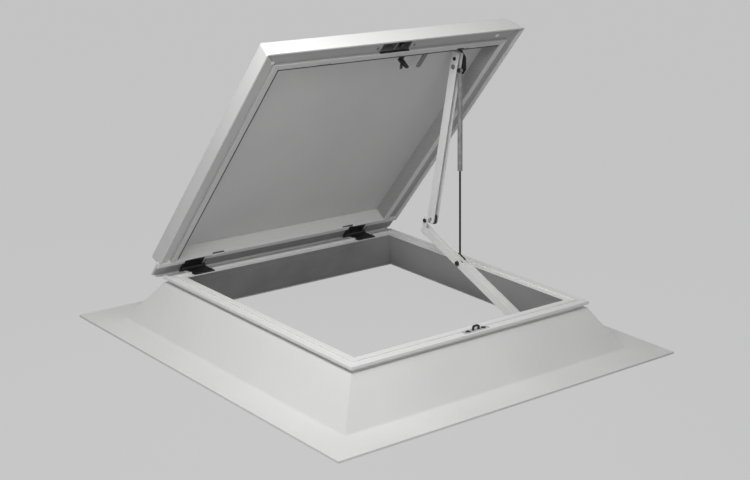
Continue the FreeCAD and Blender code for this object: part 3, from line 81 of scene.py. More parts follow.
class Nodes:
    """A material's node tree, with short ways to add and join its nodes."""

    def __init__(self, name):
        self.material = bpy.data.materials.new(name)
        self.material.use_nodes = True
        self.tree = self.material.node_tree
        self.shader = self.tree.nodes["Principled BSDF"]
        self.place = self.add("ShaderNodeTexCoord").outputs["Object"]

    def add(self, kind, **settings):
        """A new node with its settings."""
        node = self.tree.nodes.new(kind)
        for key, value in settings.items():
            setattr(node, key, value)
        return node

    def join(self, source, target):
        self.tree.links.new(source, target)

    def stretch(self, x, y, z):
        """The object's own coordinates, scaled by direction."""
        mapping = self.add("ShaderNodeMapping")
        mapping.inputs["Scale"].default_value = (x, y, z)
        self.join(self.place, mapping.inputs["Vector"])
        return mapping.outputs["Vector"]

    def along(self, axis):
        """The place along one axis of the model, in metres."""
        split = self.add("ShaderNodeSeparateXYZ")
        self.join(self.place, split.inputs["Vector"])
        return split.outputs[axis]

    def lid_height(self):
        """The height that a place on the lid has when the lid is shut, in metres."""
        dot = self.add("ShaderNodeVectorMath", operation="DOT_PRODUCT")
        self.join(self.place, dot.inputs[0])
        dot.inputs[1].default_value = SHUT[2][:3]
        return maths(self.tree, "ADD", dot.outputs["Value"], SHUT[2][3])

    def noise(self, scale, detail, rough=0.5, vector=None):
        """Soft noise from 0 to 1, in the object's own coordinates or a stretch of them."""
        node = self.add("ShaderNodeTexNoise")
        node.inputs["Scale"].default_value = scale
        node.inputs["Detail"].default_value = detail
        node.inputs["Roughness"].default_value = rough
        self.join(vector or self.place, node.inputs["Vector"])
        return node.outputs["Fac"]

    def cells(self, scale):
        """The distance from the middle of the nearest cell."""
        node = self.add("ShaderNodeTexVoronoi")
        node.inputs["Scale"].default_value = scale
        self.join(self.place, node.inputs["Vector"])
        return node.outputs["Distance"]

    def remap(self, value, low, high, out_low, out_high):
        """A value between low and high, turned into one between out_low and out_high."""
        node = self.add("ShaderNodeMapRange")
        for key, number in (("From Min", low), ("From Max", high),
                            ("To Min", out_low), ("To Max", out_high)):
            node.inputs[key].default_value = number
        self.join(value, node.inputs["Value"])
        return node.outputs["Result"]

    def spread(self, noise, low=0.0, high=1.0):
        """The middle of a noise's values, spread out from low to high."""
        return self.remap(noise, *NOISE_MIDDLE, low, high)

    def product(self, first, second):
        """Two shares multiplied."""
        return maths(self.tree, "MULTIPLY", first, second)

    def blend(self, factor, first, second):
        """Mix two colours, each a tuple or a socket."""
        node = self.add("ShaderNodeMix", data_type="RGBA")
        self.join(factor, node.inputs["Factor"])
        for key, colour in ((COLOUR_A, first), (COLOUR_B, second)):
            if isinstance(colour, tuple):
                node.inputs[key].default_value = (*colour, 1.0)
            else:
                self.join(colour, node.inputs[key])
        return node.outputs[COLOUR_MIXED]

    def bump(self, heights):
        """Stack bumps, each (height, strength, distance)."""
        normal = None
        for height, strength, distance in heights:
            node = self.add("ShaderNodeBump")
            node.inputs["Strength"].default_value = strength
            node.inputs["Distance"].default_value = distance
            self.join(height, node.inputs["Height"])
            if normal is not None:
                self.join(normal, node.inputs["Normal"])
            normal = node.outputs["Normal"]
        self.join(normal, self.shader.inputs["Normal"])

    def paint(self, colour, roughness):
        """Give the shader its colour and roughness, each a socket."""
        self.join(colour, self.shader.inputs["Base Color"])
        self.join(roughness, self.shader.inputs["Roughness"])

    def worn(self, colour, worn_colour, amount, reach):
        """Lighter or darker rubbed edges, broken up by noise."""
        edge = self.add("ShaderNodeAmbientOcclusion", samples=4, inside=True)
        edge.inputs["Distance"].default_value = reach
        rubbed = self.remap(edge.outputs["AO"], 0.45, 0.75, 1.0, 0.0)
        patchy = self.remap(self.noise(60, detail=4), 0.45, 0.62, 0.0, amount)
        return self.blend(self.product(rubbed, patchy), colour, worn_colour)

    def soiled(self, colour, dirt_colour, amount, reach=0.02):
        """Dust that gathers in inner corners."""
        corner = self.add("ShaderNodeAmbientOcclusion", samples=4)
        corner.inputs["Distance"].default_value = reach
        deep = self.remap(corner.outputs["AO"], 0.35, 0.8, amount, 0.0)
        return self.blend(self.product(deep, self.noise(25, detail=4)), colour, dirt_colour)


# ------------------------------------------------------------------ materials


def gel_coat():
    """White gel coat over glass fibre: faint mottle, orange peel and print-through of the mat."""
    n = Nodes("gel_coat")
    mottle = n.spread(n.noise(3.5, detail=5, rough=0.6))
    colour = n.blend(mottle, (0.80, 0.80, 0.795), (0.845, 0.845, 0.84))
    colour = n.soiled(colour, (0.60, 0.60, 0.59), amount=0.25, reach=0.005)
    n.paint(colour, n.spread(n.noise(9, detail=4), 0.34, 0.5))
    fibre = n.noise(160, detail=2, rough=0.7, vector=n.stretch(1.0, 0.35, 1.0))
    n.bump([(n.noise(22, detail=2), 0.10, 0.004), (fibre, 0.06, 0.0006)])
    n.shader.inputs["Coat Weight"].default_value = 0.15
    n.shader.inputs["Coat Roughness"].default_value = 0.2
    return n.material


def extruded_plastic(name, along, light, dark, groove=None, soil=0.6):
    """White rails with fine die lines along them; groove is a painted shade colour for the part above the bead."""
    n = Nodes(name)
    fine, drawn_out = 40.0, 0.6
    scale = {"x": (drawn_out, fine, fine), "y": (fine, drawn_out, fine)}[along]
    lines = n.noise(9, detail=3, rough=0.6, vector=n.stretch(*scale))
    colour = n.blend(n.spread(lines), dark, light)
    if groove is not None:
        # painted shade in the groove above the bead, broken into streaky patches
        above_bead = n.remap(n.lid_height(), BEAD_FOOT + 0.001, BEAD_FOOT + 0.004, 0.0, 1.0)
        streaks = n.noise(14, detail=4, rough=0.6, vector=n.stretch(*scale))
        groove_shade_patches = n.remap(streaks, 0.2, 0.6, 0.75, 1.0)
        colour = n.blend(n.product(above_bead, groove_shade_patches), colour, groove)
    colour = n.soiled(colour, (0.42, 0.42, 0.41), amount=soil, reach=0.012)
    n.paint(colour, n.remap(lines, 0.2, 0.8, 0.30, 0.44))
    n.bump([(lines, 0.10, 0.0004), (n.noise(14, detail=2), 0.05, 0.002)])
    return n.material


def inner_sheet():
    """The lid's flat inner sheet: fine pebbled skin with a slight wave."""
    n = Nodes("inner_sheet")
    cloud = n.spread(n.noise(2.2, detail=4, rough=0.55))
    colour = n.blend(cloud, (0.69, 0.69, 0.69), (0.75, 0.75, 0.745))
    colour = n.soiled(colour, (0.40, 0.40, 0.40), amount=0.5)
    n.paint(colour, n.spread(n.noise(30, detail=3), 0.46, 0.60))
    n.bump([(n.noise(3.0, detail=2), 0.16, 0.01), (n.cells(900), 0.05, 0.0003)])
    return n.material


def liner():
    """Dark grey inner liner with roller texture, with painted light making it pale towards the top of its right
    side.
    """
    n = Nodes("liner")
    cloud = n.spread(n.noise(5, detail=5, rough=0.6))
    colour = n.blend(cloud, (0.24, 0.24, 0.242), (0.30, 0.30, 0.302))
    # painted light: the right wall is blended to pale grey towards its top
    lit_to_the_right = n.remap(n.along("X"), 0.25, 0.5, 0.0, 0.8)
    lit_to_the_top = n.remap(n.along("Z"), 0.02, 0.12, 0.35, 1.0)
    colour = n.blend(n.product(lit_to_the_right, lit_to_the_top), colour, (0.72, 0.72, 0.72))
    colour = n.soiled(colour, (0.16, 0.16, 0.16), amount=0.4)
    n.paint(colour, n.spread(n.noise(18, detail=3), 0.5, 0.66))
    n.bump([(n.noise(260, detail=2, rough=0.6), 0.14, 0.0005), (n.noise(6, detail=2), 0.1, 0.004)])
    return n.material


def coated_black(name, grey=0.011, rough=0.45, shine=0.5, wear=0.35):
    """Black powder coat or another dark skin, rubbed grey at its edges."""
    n = Nodes(name)
    tone = n.spread(n.noise(40, detail=4))
    colour = n.blend(tone, (grey, grey, grey * 1.05), (grey * 1.7, grey * 1.7, grey * 1.75))
    colour = n.worn(colour, (0.12, 0.12, 0.125), amount=wear, reach=0.0015)
    n.paint(colour, n.spread(n.noise(90, detail=3), rough - 0.08, rough + 0.1))
    n.shader.inputs["Specular IOR Level"].default_value = shine
    n.bump([(n.noise(1400, detail=2), 0.16, 0.0002)])
    return n.material


def coated_white():
    """White powder coat on the folded steel arms."""
    n = Nodes("coated_white")
    tone = n.spread(n.noise(12, detail=4))
    colour = n.blend(tone, (0.88, 0.88, 0.875), (0.93, 0.93, 0.925))
    colour = n.worn(colour, (0.60, 0.60, 0.60), amount=0.35, reach=0.0015)
    colour = n.soiled(colour, (0.55, 0.55, 0.54), amount=0.3, reach=0.006)
    n.paint(colour, n.spread(n.noise(50, detail=3), 0.30, 0.45))
    n.bump([(n.noise(900, detail=2), 0.12, 0.0002)])
    return n.material


def painted_grey(name, grey, rough=0.38):
    """Grey paint, a little scuffed."""
    n = Nodes(name)
    tone = n.spread(n.noise(30, detail=5, rough=0.6))
    colour = n.blend(tone, (grey, grey, grey * 1.02), (grey * 1.2, grey * 1.2, grey * 1.22))
    scratches = n.noise(120, detail=4, rough=0.7, vector=n.stretch(1.0, 1.0, 0.15))
    scuff = n.remap(scratches, 0.60, 0.72, 0.0, 0.5)
    colour = n.blend(scuff, colour, (grey * 1.8, grey * 1.8, grey * 1.8))
    colour = n.worn(colour, (0.5, 0.5, 0.5), amount=0.5, reach=0.002)
    n.paint(colour, n.spread(n.noise(70, detail=3), rough - 0.07, rough + 0.1))
    n.bump([(n.noise(700, detail=2), 0.08, 0.0002)])
    return n.material


def seal_rubber():
    """Pale, matt seal."""
    n = Nodes("seal_rubber")
    tone = n.spread(n.noise(35, detail=4))
    colour = n.blend(tone, (0.84, 0.84, 0.835), (0.89, 0.89, 0.885))
    n.paint(colour, n.spread(n.noise(60, detail=3), 0.52, 0.7))
    n.bump([(n.noise(600, detail=2), 0.12, 0.0003)])
    return n.material


def rigid_foam():
    """Yellowish rigid foam with open pores."""
    n = Nodes("rigid_foam")
    pores = n.cells(350)
    colour = n.blend(n.remap(pores, 0.0, 0.6, 0.0, 1.0), (0.62, 0.57, 0.44), (0.78, 0.74, 0.62))
    n.paint(colour, n.remap(pores, 0.0, 0.6, 0.75, 0.95))
    n.bump([(pores, 0.5, 0.001)])
    return n.material


def bare_steel():
    """Zinc-plated steel."""
    n = Nodes("bare_steel")
    tone = n.spread(n.noise(80, detail=4))
    colour = n.blend(tone, (0.36, 0.36, 0.37), (0.52, 0.52, 0.53))
    n.paint(colour, n.spread(n.noise(150, detail=3), 0.28, 0.45))
    n.shader.inputs["Metallic"].default_value = 1.0
    n.bump([(n.noise(1100, detail=2), 0.1, 0.0002)])
    return n.material


GEL_COAT = gel_coat()
CURB_WHITE = {"light": (0.91, 0.91, 0.905), "dark": (0.87, 0.87, 0.865), "soil": 0.12}
RAIL_X = extruded_plastic("rail_along_x", "x", **CURB_WHITE)
RAIL_Y = extruded_plastic("rail_along_y", "y", **CURB_WHITE)
# Lit and shaded copies of one grey lid rail: each side's tone and groove colour paint the light and shade that
# fall there, lighter at the back and right, darker at the front and left.
LID_RAIL_FRONT_SHADED = extruded_plastic("lid_rail_front", "x", (0.66, 0.66, 0.655), (0.58, 0.58, 0.575),
                                  groove=(0.44, 0.44, 0.44))
LID_RAIL_BACK_LIT = extruded_plastic("lid_rail_back", "x", (0.88, 0.88, 0.875), (0.82, 0.82, 0.815))
LID_RAIL_LEFT_SHADED = extruded_plastic("lid_rail_left", "y", (0.68, 0.68, 0.675), (0.60, 0.60, 0.595),
                                 groove=(0.60, 0.60, 0.60))
LID_RAIL_RIGHT_SHADED = extruded_plastic("lid_rail_right", "y", (0.84, 0.84, 0.835), (0.76, 0.76, 0.755),
                                  groove=(0.42, 0.42, 0.42))
INNER_SHEET = inner_sheet()
LINER = liner()
BLACK = coated_black("black_coat")
ROD = coated_black("rod_coat", 0.004, 0.4, shine=0.2, wear=0.0)
LOCK_PLASTIC = painted_grey("lock_plastic", 0.21, 0.5)
LEVER_GREY = painted_grey("lever_grey", 0.19)
TUBE_GREY = painted_grey("tube_grey", 0.22, 0.34)
ARM_WHITE = coated_white()
SEAL = seal_rubber()
FOAM = rigid_foam()
STEEL = bare_steel()
# A dark matt skin that paints shade: the line along the bead and the roofs of the drain slots.
PAINTED_SHADE_BLACK = coated_black("sealant", 0.085, 0.7)
# gasket grey, dark enough to paint the shade in the gap between lid and curb as well
GASKET_SHADE_GREY = painted_grey("gasket", 0.40, 0.7)
BOLT_GREY = painted_grey("bolt_grey", 0.20)
STRIKE_WHITE = painted_grey("strike_white", 0.55)

BY_SLOT = {
    "grp_white": GEL_COAT,
    "pvc_white": RAIL_X,
    "foam": FOAM,
    "liner_grey": LINER,
    "panel_grey": INNER_SHEET,
    "seal_rubber": SEAL,
    "black_metal": BLACK,
    "lock_grey": LOCK_PLASTIC,
    "lever_grey": LEVER_GREY,
    "arm_white": ARM_WHITE,
    "tube_grey": TUBE_GREY,
    "rod_dark": ROD,
}
# The nodes that look different from the rest of their slot; the lid rails differ by painted light and shade.
OWN_FINISH = {
    "curb_rail_left": RAIL_Y, "curb_rail_right": RAIL_Y, "lid_rail_left": LID_RAIL_LEFT_SHADED,
    "lid_rail_right": LID_RAIL_RIGHT_SHADED, "lid_rail_front": LID_RAIL_FRONT_SHADED,
    "lid_rail_back": LID_RAIL_BACK_LIT, "strike_plate": STRIKE_WHITE, "stay_elbow_pin": STEEL,
    "stay_hanger_bolt": BOLT_GREY, "stay_elbow_bolt": BOLT_GREY, "gas_tube_eye": TUBE_GREY,
}
for entry in frame["record"]["subparts"]:
    finish = OWN_FINISH.get(entry["node"], BY_SLOT[entry["material_slot"]])
    mesh = NODES[entry["node"]].data
    mesh.materials.clear()
    mesh.materials.append(finish)

# ------------------------------------------------------------------ shapes

SHARP_EDGE = math.radians(35)
SCREW_SIDES = 24
SCREW_RINGS = (
    # share of the radius, share of the height, follows the hexagon of the socket
    (1.00, 0.00, False), (1.00, 0.35, False), (0.88, 0.72, False), (0.66, 1.00, False),
    (0.48, 1.00, True), (0.46, 0.30, True),
)
STRIP_TAPER = 0.0006    # length over which a strip narrows at each end
STRIP_TIP = 0.7         # size of its end faces, as a share of its section


def closed_box(node):
    """A lid node's lowest and highest corners with the lid turned back down."""
    points = [SHUT @ vertex.co for vertex in NODES[node].data.vertices]
    return (Vector([min(point[i] for point in points) for i in range(3)]),
            Vector([max(point[i] for point in points) for i in range(3)]))


def piece(name, shape, material, body, matrix=AS_BUILT):
    """A finished piece from a bmesh, riding on a CAD body."""
    shape.transform(matrix)
    bmesh.ops.recalc_face_normals(shape, faces=shape.faces)
    mesh = bpy.data.meshes.new(name)
    shape.to_mesh(mesh)
    shape.free()
    mesh.shade_smooth()
    mesh.set_sharp_from_angle(angle=SHARP_EDGE)
    mesh.materials.append(material)
    obj = bpy.data.objects.new(name, mesh)
    SCENE.collection.objects.link(obj)
    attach(obj, body)


def lofted(loops):
    """A closed solid through loops of as many points each."""
    shape = bmesh.new()
    rings = [[shape.verts.new(point) for point in loop] for loop in loops]
    for low, high in zip(rings, rings[1:]):
        for i, vertex in enumerate(low):
            after = (i + 1) % len(low)
            shape.faces.new((vertex, low[after], high[after], high[i]))
    shape.faces.new(list(reversed(rings[0])))
    shape.faces.new(rings[-1])
    return shape


def domed(outline, rings):
    """A low dome on one outline; each ring is (share of the outline, height)."""
    return lofted([[(x * share, y * share, up) for x, y in outline] for share, up in rings])


def angles(sides):
    """Evenly spaced angles once round."""
    return [math.tau * i / sides for i in range(sides)]


def circle(radius, sides):
    """The corners of a round outline, as (x, y)."""
    return [(radius * math.cos(angle), radius * math.sin(angle)) for angle in angles(sides)]


def screw_head(radius, height):
    """A round head with a hexagonal socket, standing on the origin along +Z."""
    sixth = math.tau / 6
    loops = []
    for reach, up, hexagonal in SCREW_RINGS:
        loop = []
        for angle in angles(SCREW_SIDES):
            spread = math.cos(angle % sixth - sixth / 2) if hexagonal else 1.0
            out = reach * radius / spread * (math.cos(sixth / 2) if hexagonal else 1.0)
            loop.append((out * math.cos(angle), out * math.sin(angle), up * height))
        loops.append(loop)
    return lofted(loops)


def screws(name, places, head, material, body, turn=AS_BUILT, lid=AS_BUILT):
    """One head at each place, along the turned +Z; lid is OPENED for places on the shut lid."""
    for number, place in enumerate(places, 1):
        piece("%s_%d" % (name, number), screw_head(*head), material, body,
              lid @ Matrix.Translation(place) @ turn)


def strip(start, end, profile):
    """A straight strip along X or Y; the profile's points are (across, up) from its line."""
    start, end = Vector(start), Vector(end)
    along = (end - start).normalized()
    across = along.cross(Vector((0, 0, 1)))
    taper = along * STRIP_TAPER
    loops = []
    for place, share in ((start, STRIP_TIP), (start + taper, 1.0),
                         (end - taper, 1.0), (end, STRIP_TIP)):
        loops.append([place + across * side * share + Vector((0, 0, up * share))
                      for side, up in profile])
    return lofted(loops)


# ------------------------------------------------------------------ small pieces

# Sizes of the CAD that its boxes don't give.
LEAF_PROUD = 0.0005         # the hinges' lower leaves above the curb rail
EAR_THICK = 0.003           # plates of the stay's foot and hanger
LID_GROOVE = 0.008          # roof of the back rail's groove above the bead's foot
DRAIN_SLOT_X = 0.258        # middle of each drain slot, either side of the hatch's middle
DRAIN_SLOT_LENGTH = 0.044
DRAIN_SLOT_HIGH = 0.005     # roof of a drain slot above the bead's foot

# Screw heads, each (radius, height).
HINGE_HEAD = (0.0042, 0.0018)
STRIKE_HEAD = (0.0065, 0.0024)
LOCK_HEAD = (0.0042, 0.0020)
STAY_HEAD = (0.0045, 0.0020)

HINGE_GAP = 0.003           # between a gasket's end and the hinge
SEALANT_RADIUS = 0.0017

# Places are (x, y) with the lid shut, and rings are (share of the outline, height).
PLUGS = ((-0.227, -0.162), (0.086, -0.109), (0.037, 0.087), (0.049, 0.290))
PLUG_RADIUS = 0.007
PLUG_RINGS = ((1.0, 0.0002), (0.9, 0.0008), (0.55, 0.0012), (0.2, 0.0013))
DABS = (((0.384, -0.451), 0.0075), ((-0.436, -0.438), 0.0060), ((-0.438, 0.424), 0.0065))
DAB_RINGS = ((1.0, -0.0005), (0.93, 0.0008), (0.66, 0.0017), (0.3, 0.0021))
DAB_SIDES = 24
DAB_UNEVEN = (0.14, 0.10)   # how far a dab's edge strays along X and along Y, as shares


def bead_shade_lines():
    """A dark cord along the inner edge of the bead, at the front and the left of the lid: a painted shade line
    where the bead hides the panel.
    """
    clear = 0.004           # above the bead's foot, and short of the back rail
    profile = circle(SEALANT_RADIUS, 10)
    left = closed_box("lid_rail_left")[1].x + SEALANT_RADIUS
    right = closed_box("lid_rail_right")[0].x
    front_box = closed_box("lid_rail_front")
    front = front_box[1].y + SEALANT_RADIUS
    height = front_box[0].z + clear
    back = closed_box("lid_rail_back")[0].y - clear
    lines = {
        "left": ((left, front, height), (left, back, height)),
        "front": ((left, front, height), (right, front, height)),
    }
    for side, (start, end) in lines.items():
        piece("bead_shade_line_" + side, strip(start, end, profile), PAINTED_SHADE_BLACK, "lid",
              OPENED)


def sealant_dabs():
    """Uneven light dabs of sealant in the corners of the lid's groove."""
    groove = closed_box("lock_case")[0].z
    along_x, along_y = DAB_UNEVEN
    for number, ((x, y), radius) in enumerate(DABS, 1):
        outline = [(radius * (1 + along_x * math.sin(3 * angle + number)) * math.cos(angle),
                    radius * (1 + along_y * math.sin(2 * angle + number)) * math.sin(angle))
                   for angle in angles(DAB_SIDES)]
        piece("sealant_dab_%d" % number, domed(outline, DAB_RINGS), RAIL_X, "lid",
              OPENED @ Matrix.Translation((x, y, groove)) @ FACING_DOWN)


def liner_edges_and_rail_shade():
    """The liner turned up over the rails' leaning inner faces, to just below their tops; its dark grey there also
    paints the shade on those faces.
    """
    foot, top = (corner.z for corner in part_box("curb_rail_right"))
    middle = (top + foot) / 2 - 0.001
    half = (top - foot) / 2 - 0.0015
    lean = half * WALL_SLOPE
    wall = OPENING_FOOT - middle * WALL_SLOPE
    reach = wall + lean
    sunk, proud = 0.0003, 0.0005        # how deep the skin lies in the rail, and stands off it
    skin = ((lean + sunk, -half), (lean - proud, -half),
            (-lean - proud, half), (-lean + sunk, half))
    lines = {
        "right": ((wall, -reach, middle), (wall, reach, middle)),
        "left": ((-wall, reach, middle), (-wall, -reach, middle)),
        "back": ((reach, wall, middle), (-reach, wall, middle)),
        "front": ((-reach, -wall, middle), (reach, -wall, middle)),
    }
    # dark liner over the rails' inner faces: liner and painted shade
    for side, (start, end) in lines.items():
        piece("liner_edge_and_shade_" + side, strip(start, end, skin), LINER, "curb")


def between_hinges(low, high):
    """The stretches of a line along X that both hinges leave free."""
    stretches, start = [], low
    for side in ("left", "right"):
        boxes = (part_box("hinge_base_" + side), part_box("hinge_leaf_" + side))
        stretches.append((start, min(corner[0].x for corner in boxes) - HINGE_GAP))
        start = max(corner[1].x for corner in boxes) + HINGE_GAP
    stretches.append((start, high))
    return stretches


def back_gaskets_and_gap_shade():
    """The flat grey gasket behind the back seal, and the one over it in the lid's groove, their grey also painting
    the shade of the gap between lid and curb.
    """
    low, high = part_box("curb_rail_back")
    middle = high.y - 0.0115            # between the seal and the rail's back edge
    end_gap = 0.010                     # from the rail's corners
    flat = ((-0.0095, -0.0005), (0.0095, -0.0005), (0.0088, 0.0012), (-0.0088, 0.0012))
    for number, (start, end) in enumerate(between_hinges(low.x + end_gap, high.x - end_gap), 1):
        piece("curb_gasket_shade_%d" % number,
              strip((start, middle, high.z), (end, middle, high.z), flat),
              GASKET_SHADE_GREY, "curb")
    low, high = closed_box("lid_rail_back")
    middle = high.y - 0.0265
    roof = low.z + LID_GROOVE
    end_gap = 0.004
    pad = ((-0.0205, 0.0005), (0.0205, 0.0005), (0.0195, -0.0018), (0.006, -0.0024),
           (-0.006, -0.0024), (-0.0195, -0.0018))
    for number, (start, end) in enumerate(between_hinges(low.x + end_gap, high.x - end_gap), 1):
        piece("lid_gasket_shade_%d" % number, strip((start, middle, roof), (end, middle, roof), pad),
              GASKET_SHADE_GREY, "lid", OPENED)


def slot_shades():
    """Dark strips that paint the shade in the roofs of the two drain slots in the lip of the lid's back rail."""
    low = closed_box("lid_rail_back")[0]
    y, z = low.y + 0.0045, low.z + DRAIN_SLOT_HIGH
    half = DRAIN_SLOT_LENGTH / 2 - 0.0005
    slot_shade_section = ((-0.003, 0.0002), (0.003, 0.0002), (0.003, -0.0006), (-0.003, -0.0006))
    for side, middle in (("left", -DRAIN_SLOT_X), ("right", DRAIN_SLOT_X)):
        piece("slot_shade_" + side, strip((middle - half, y, z), (middle + half, y, z), slot_shade_section),
              PAINTED_SHADE_BLACK, "lid", OPENED)


def hinge_screws():
    """Two screws in each hinge's base and two in its leaf."""
    lower_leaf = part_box("curb_rail_back")[1].z + LEAF_PROUD
    upper_leaf = closed_box("lid_rail_back")[0].z
    for side in ("left", "right"):
        low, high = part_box("hinge_base_" + side)
        places = [(low.x + share * (high.x - low.x), low.y + 0.012, lower_leaf)
                  for share in (0.2, 0.8)]
        screws("hinge_base_screw_" + side, places, HINGE_HEAD, BLACK, "curb")
        low, high = closed_box("hinge_leaf_" + side)
        places = [(low.x + share * (high.x - low.x), low.y + 0.013, upper_leaf)
                  for share in (0.18, 0.82)]
        screws("hinge_leaf_screw_" + side, places, HINGE_HEAD, BLACK, "lid", FACING_DOWN, OPENED)


def lock_details():
    """The strike's screws and slots, the lock's screws, and the dark sill below its two cells."""
    low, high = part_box("strike_plate")
    middle = (low.y + high.y) / 2
    places = [(x, middle, high.z) for x in (low.x + 0.020, high.x - 0.020)]
    screws("strike_screw", places, STRIKE_HEAD, BLACK, "curb")
    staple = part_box("strike_staple")
    slot = ((-0.0024, -0.0002), (0.0024, -0.0002), (0.0022, 0.0003), (-0.0022, 0.0003))
    for side, start, end in (("left", low.x + 0.008, staple[0].x - 0.003),
                             ("right", staple[1].x + 0.003, high.x - 0.008)):
        piece("strike_slot_" + side, strip((start, middle, high.z), (end, middle, high.z), slot),
              BLACK, "curb")
    low, high = closed_box("lock_case")
    middle = (low.y + high.y) / 2
    places = [(x, middle, low.z) for x in (low.x - 0.014, high.x + 0.014)]
    screws("lock_screw", places, LOCK_HEAD, BOLT_GREY, "lid", FACING_DOWN, OPENED)
    edge = high.y - 0.0013              # just inside the case's inner edge
    sill = ((-0.0011, -0.0001), (0.0011, -0.0001), (0.0010, -0.0068), (-0.0010, -0.0068))
    piece("lock_sill", strip((low.x, edge, low.z), (high.x, edge, low.z), sill),
          BLACK, "lid", OPENED)


def stay_details():
    """Screws in the foot bracket on the leaning front wall, and in the hanger plate."""
    low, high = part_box("stay_foot")
    height = (low.z + high.z) / 2
    face = low.y + (height - low.z) * WALL_SLOPE + EAR_THICK
    places = [(x, face, height) for x in (low.x + 0.008, high.x - 0.008)]
    off_the_wall = Matrix.Rotation(-math.pi / 2 - math.atan(WALL_SLOPE), 4, "X")
    screws("foot_screw", places, STAY_HEAD, STEEL, "curb", off_the_wall)
    low, high = closed_box("stay_hanger")
    plate = closed_box("lid_panel")[0].z - EAR_THICK
    places = [(high.x - 0.012, low.y + inset, plate) for inset in (0.012, 0.036)]
    screws("hanger_screw", places, STAY_HEAD, BLACK, "lid", FACING_DOWN, OPENED)


def panel_plugs():
    """Four shallow plugs over the fixings of the inner panel."""
    face = closed_box("lid_panel")[0].z
    for number, (x, y) in enumerate(PLUGS, 1):
        piece("panel_plug_%d" % number, domed(circle(PLUG_RADIUS, 20), PLUG_RINGS), INNER_SHEET,
              "lid", OPENED @ Matrix.Translation((x, y, face)) @ FACING_DOWN)


bead_shade_lines()
sealant_dabs()
liner_edges_and_rail_shade()
back_gaskets_and_gap_shade()
slot_shades()
hinge_screws()
lock_details()
stay_details()
panel_plugs()

# ------------------------------------------------------------------ floor, light and camera

BACKGROUND = (0.578, 0.578, 0.578, 1.0)
FLOOR_PAPER = (0.62, 0.62, 0.62, 1.0)
FLOOR_GLOW = 0.93           # how much of the floor's look is the backdrop's; the rest is shaded
SKY_LIGHT = 0.20
CAMERA_AT = (-2.7365, -3.2106, 1.5886)
CAMERA_AZIMUTH = math.radians(-40.43)
CAMERA_HEIGHT = math.radians(16.97)
CAMERA_ROLL = math.radians(1.94)
FOCAL_LENGTH = 71.18        # mm, on a sensor 36 mm wide


def seen_share(tree, share):
    """The share for rays that show the backdrop to the eye, and 0 for light that bounces."""
    rays = tree.nodes.new("ShaderNodeLightPath").outputs
    seen = maths(tree, "MAXIMUM", rays["Is Camera Ray"], rays["Is Glossy Ray"])
    seen = maths(tree, "MAXIMUM", seen, rays["Is Transmission Ray"])
    return maths(tree, "MULTIPLY", seen, share)


def show_backdrop(tree, lit, backdrop, share, output):
    """Shade with lit, but show that share of the backdrop to the eye."""
    mix = tree.nodes.new("ShaderNodeMixShader")
    tree.links.new(seen_share(tree, share), mix.inputs["Fac"])
    tree.links.new(lit, mix.inputs[1])
    tree.links.new(backdrop, mix.inputs[2])
    tree.links.new(mix.outputs["Shader"], tree.nodes[output].inputs["Surface"])


def floor():
    """A wide pale floor that melts into the backdrop and takes the hatch's soft shadow."""
    mesh = bpy.data.meshes.new("floor")
    shape = bmesh.new()
    bmesh.ops.create_grid(shape, x_segments=1, y_segments=1, size=40.0)
    shape.to_mesh(mesh)
    shape.free()
    ground = bpy.data.objects.new("floor", mesh)
    ground.location.z = -0.0005
    SCENE.collection.objects.link(ground)
    material = bpy.data.materials.new("floor_paper")
    material.use_nodes = True
    tree = material.node_tree
    paper = tree.nodes["Principled BSDF"]
    paper.inputs["Base Color"].default_value = FLOOR_PAPER
    paper.inputs["Roughness"].default_value = 1.0
    paper.inputs["Specular IOR Level"].default_value = 0.0
    glow = tree.nodes.new("ShaderNodeEmission")
    glow.inputs["Color"].default_value = BACKGROUND
    show_backdrop(tree, paper.outputs["BSDF"], glow.outputs["Emission"], FLOOR_GLOW,
                  "Material Output")
    mesh.materials.append(material)


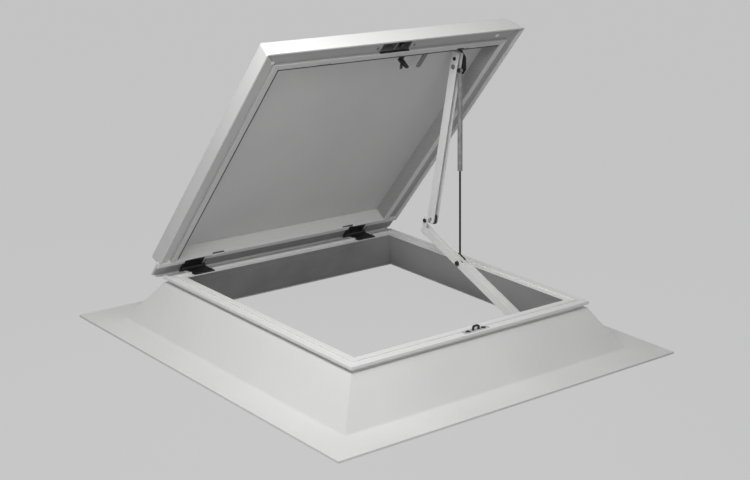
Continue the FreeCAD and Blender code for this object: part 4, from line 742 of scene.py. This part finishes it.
def sky():
    """Even white light from all round, with the grey backdrop where it is looked at."""
    world = bpy.data.worlds.new("studio")
    SCENE.world = world
    world.use_nodes = True
    tree = world.node_tree
    light = tree.nodes["Background"]
    light.inputs["Color"].default_value = (1.0, 1.0, 1.0, 1.0)
    light.inputs["Strength"].default_value = SKY_LIGHT
    backdrop = tree.nodes.new("ShaderNodeBackground")
    backdrop.inputs["Color"].default_value = BACKGROUND
    backdrop.inputs["Strength"].default_value = 1.0
    show_backdrop(tree, light.outputs["Background"], backdrop.outputs["Background"], 1.0,
                  "World Output")


def lamp(name, place, target, width, watts):
    """A square soft lamp at a place, aimed at a target and not itself seen."""
    light = bpy.data.lights.new(name, "AREA")
    light.shape = "SQUARE"
    light.size = width
    light.energy = watts
    obj = bpy.data.objects.new(name, light)
    obj.location = place
    aim = Vector(target) - Vector(place)
    obj.rotation_euler = aim.to_track_quat("-Z", "Y").to_euler()
    obj.visible_camera = False
    SCENE.collection.objects.link(obj)


def camera():
    """Seen from the front left, a little above, with a slight roll."""
    level_share = math.cos(CAMERA_HEIGHT)
    back = Vector((math.sin(CAMERA_AZIMUTH) * level_share, -math.cos(CAMERA_AZIMUTH) * level_share,
                   math.sin(CAMERA_HEIGHT)))
    level = (-back).cross(Vector((0, 0, 1))).normalized()
    upright = level.cross(-back)
    right = level * math.cos(CAMERA_ROLL) + upright * math.sin(CAMERA_ROLL)
    up = upright * math.cos(CAMERA_ROLL) - level * math.sin(CAMERA_ROLL)
    lens = bpy.data.cameras.new("camera")
    lens.sensor_width = 36.0
    lens.lens = FOCAL_LENGTH
    lens.clip_end = 200.0
    eye = bpy.data.objects.new("camera", lens)
    turn = Matrix((right, up, back)).transposed().to_4x4()
    eye.matrix_world = Matrix.Translation(CAMERA_AT) @ turn
    SCENE.collection.objects.link(eye)
    SCENE.camera = eye


floor()
sky()
lamp("key", place=(-1.0, -0.66, 1.72), target=(0.0, 0.0, 0.2), width=1.1, watts=24.5)
lamp("fill", place=(-0.6, -3.2, 0.6), target=(0.0, 0.0, 0.4), width=1.5, watts=6.0)
camera()
SCENE.view_settings.view_transform = "Standard"
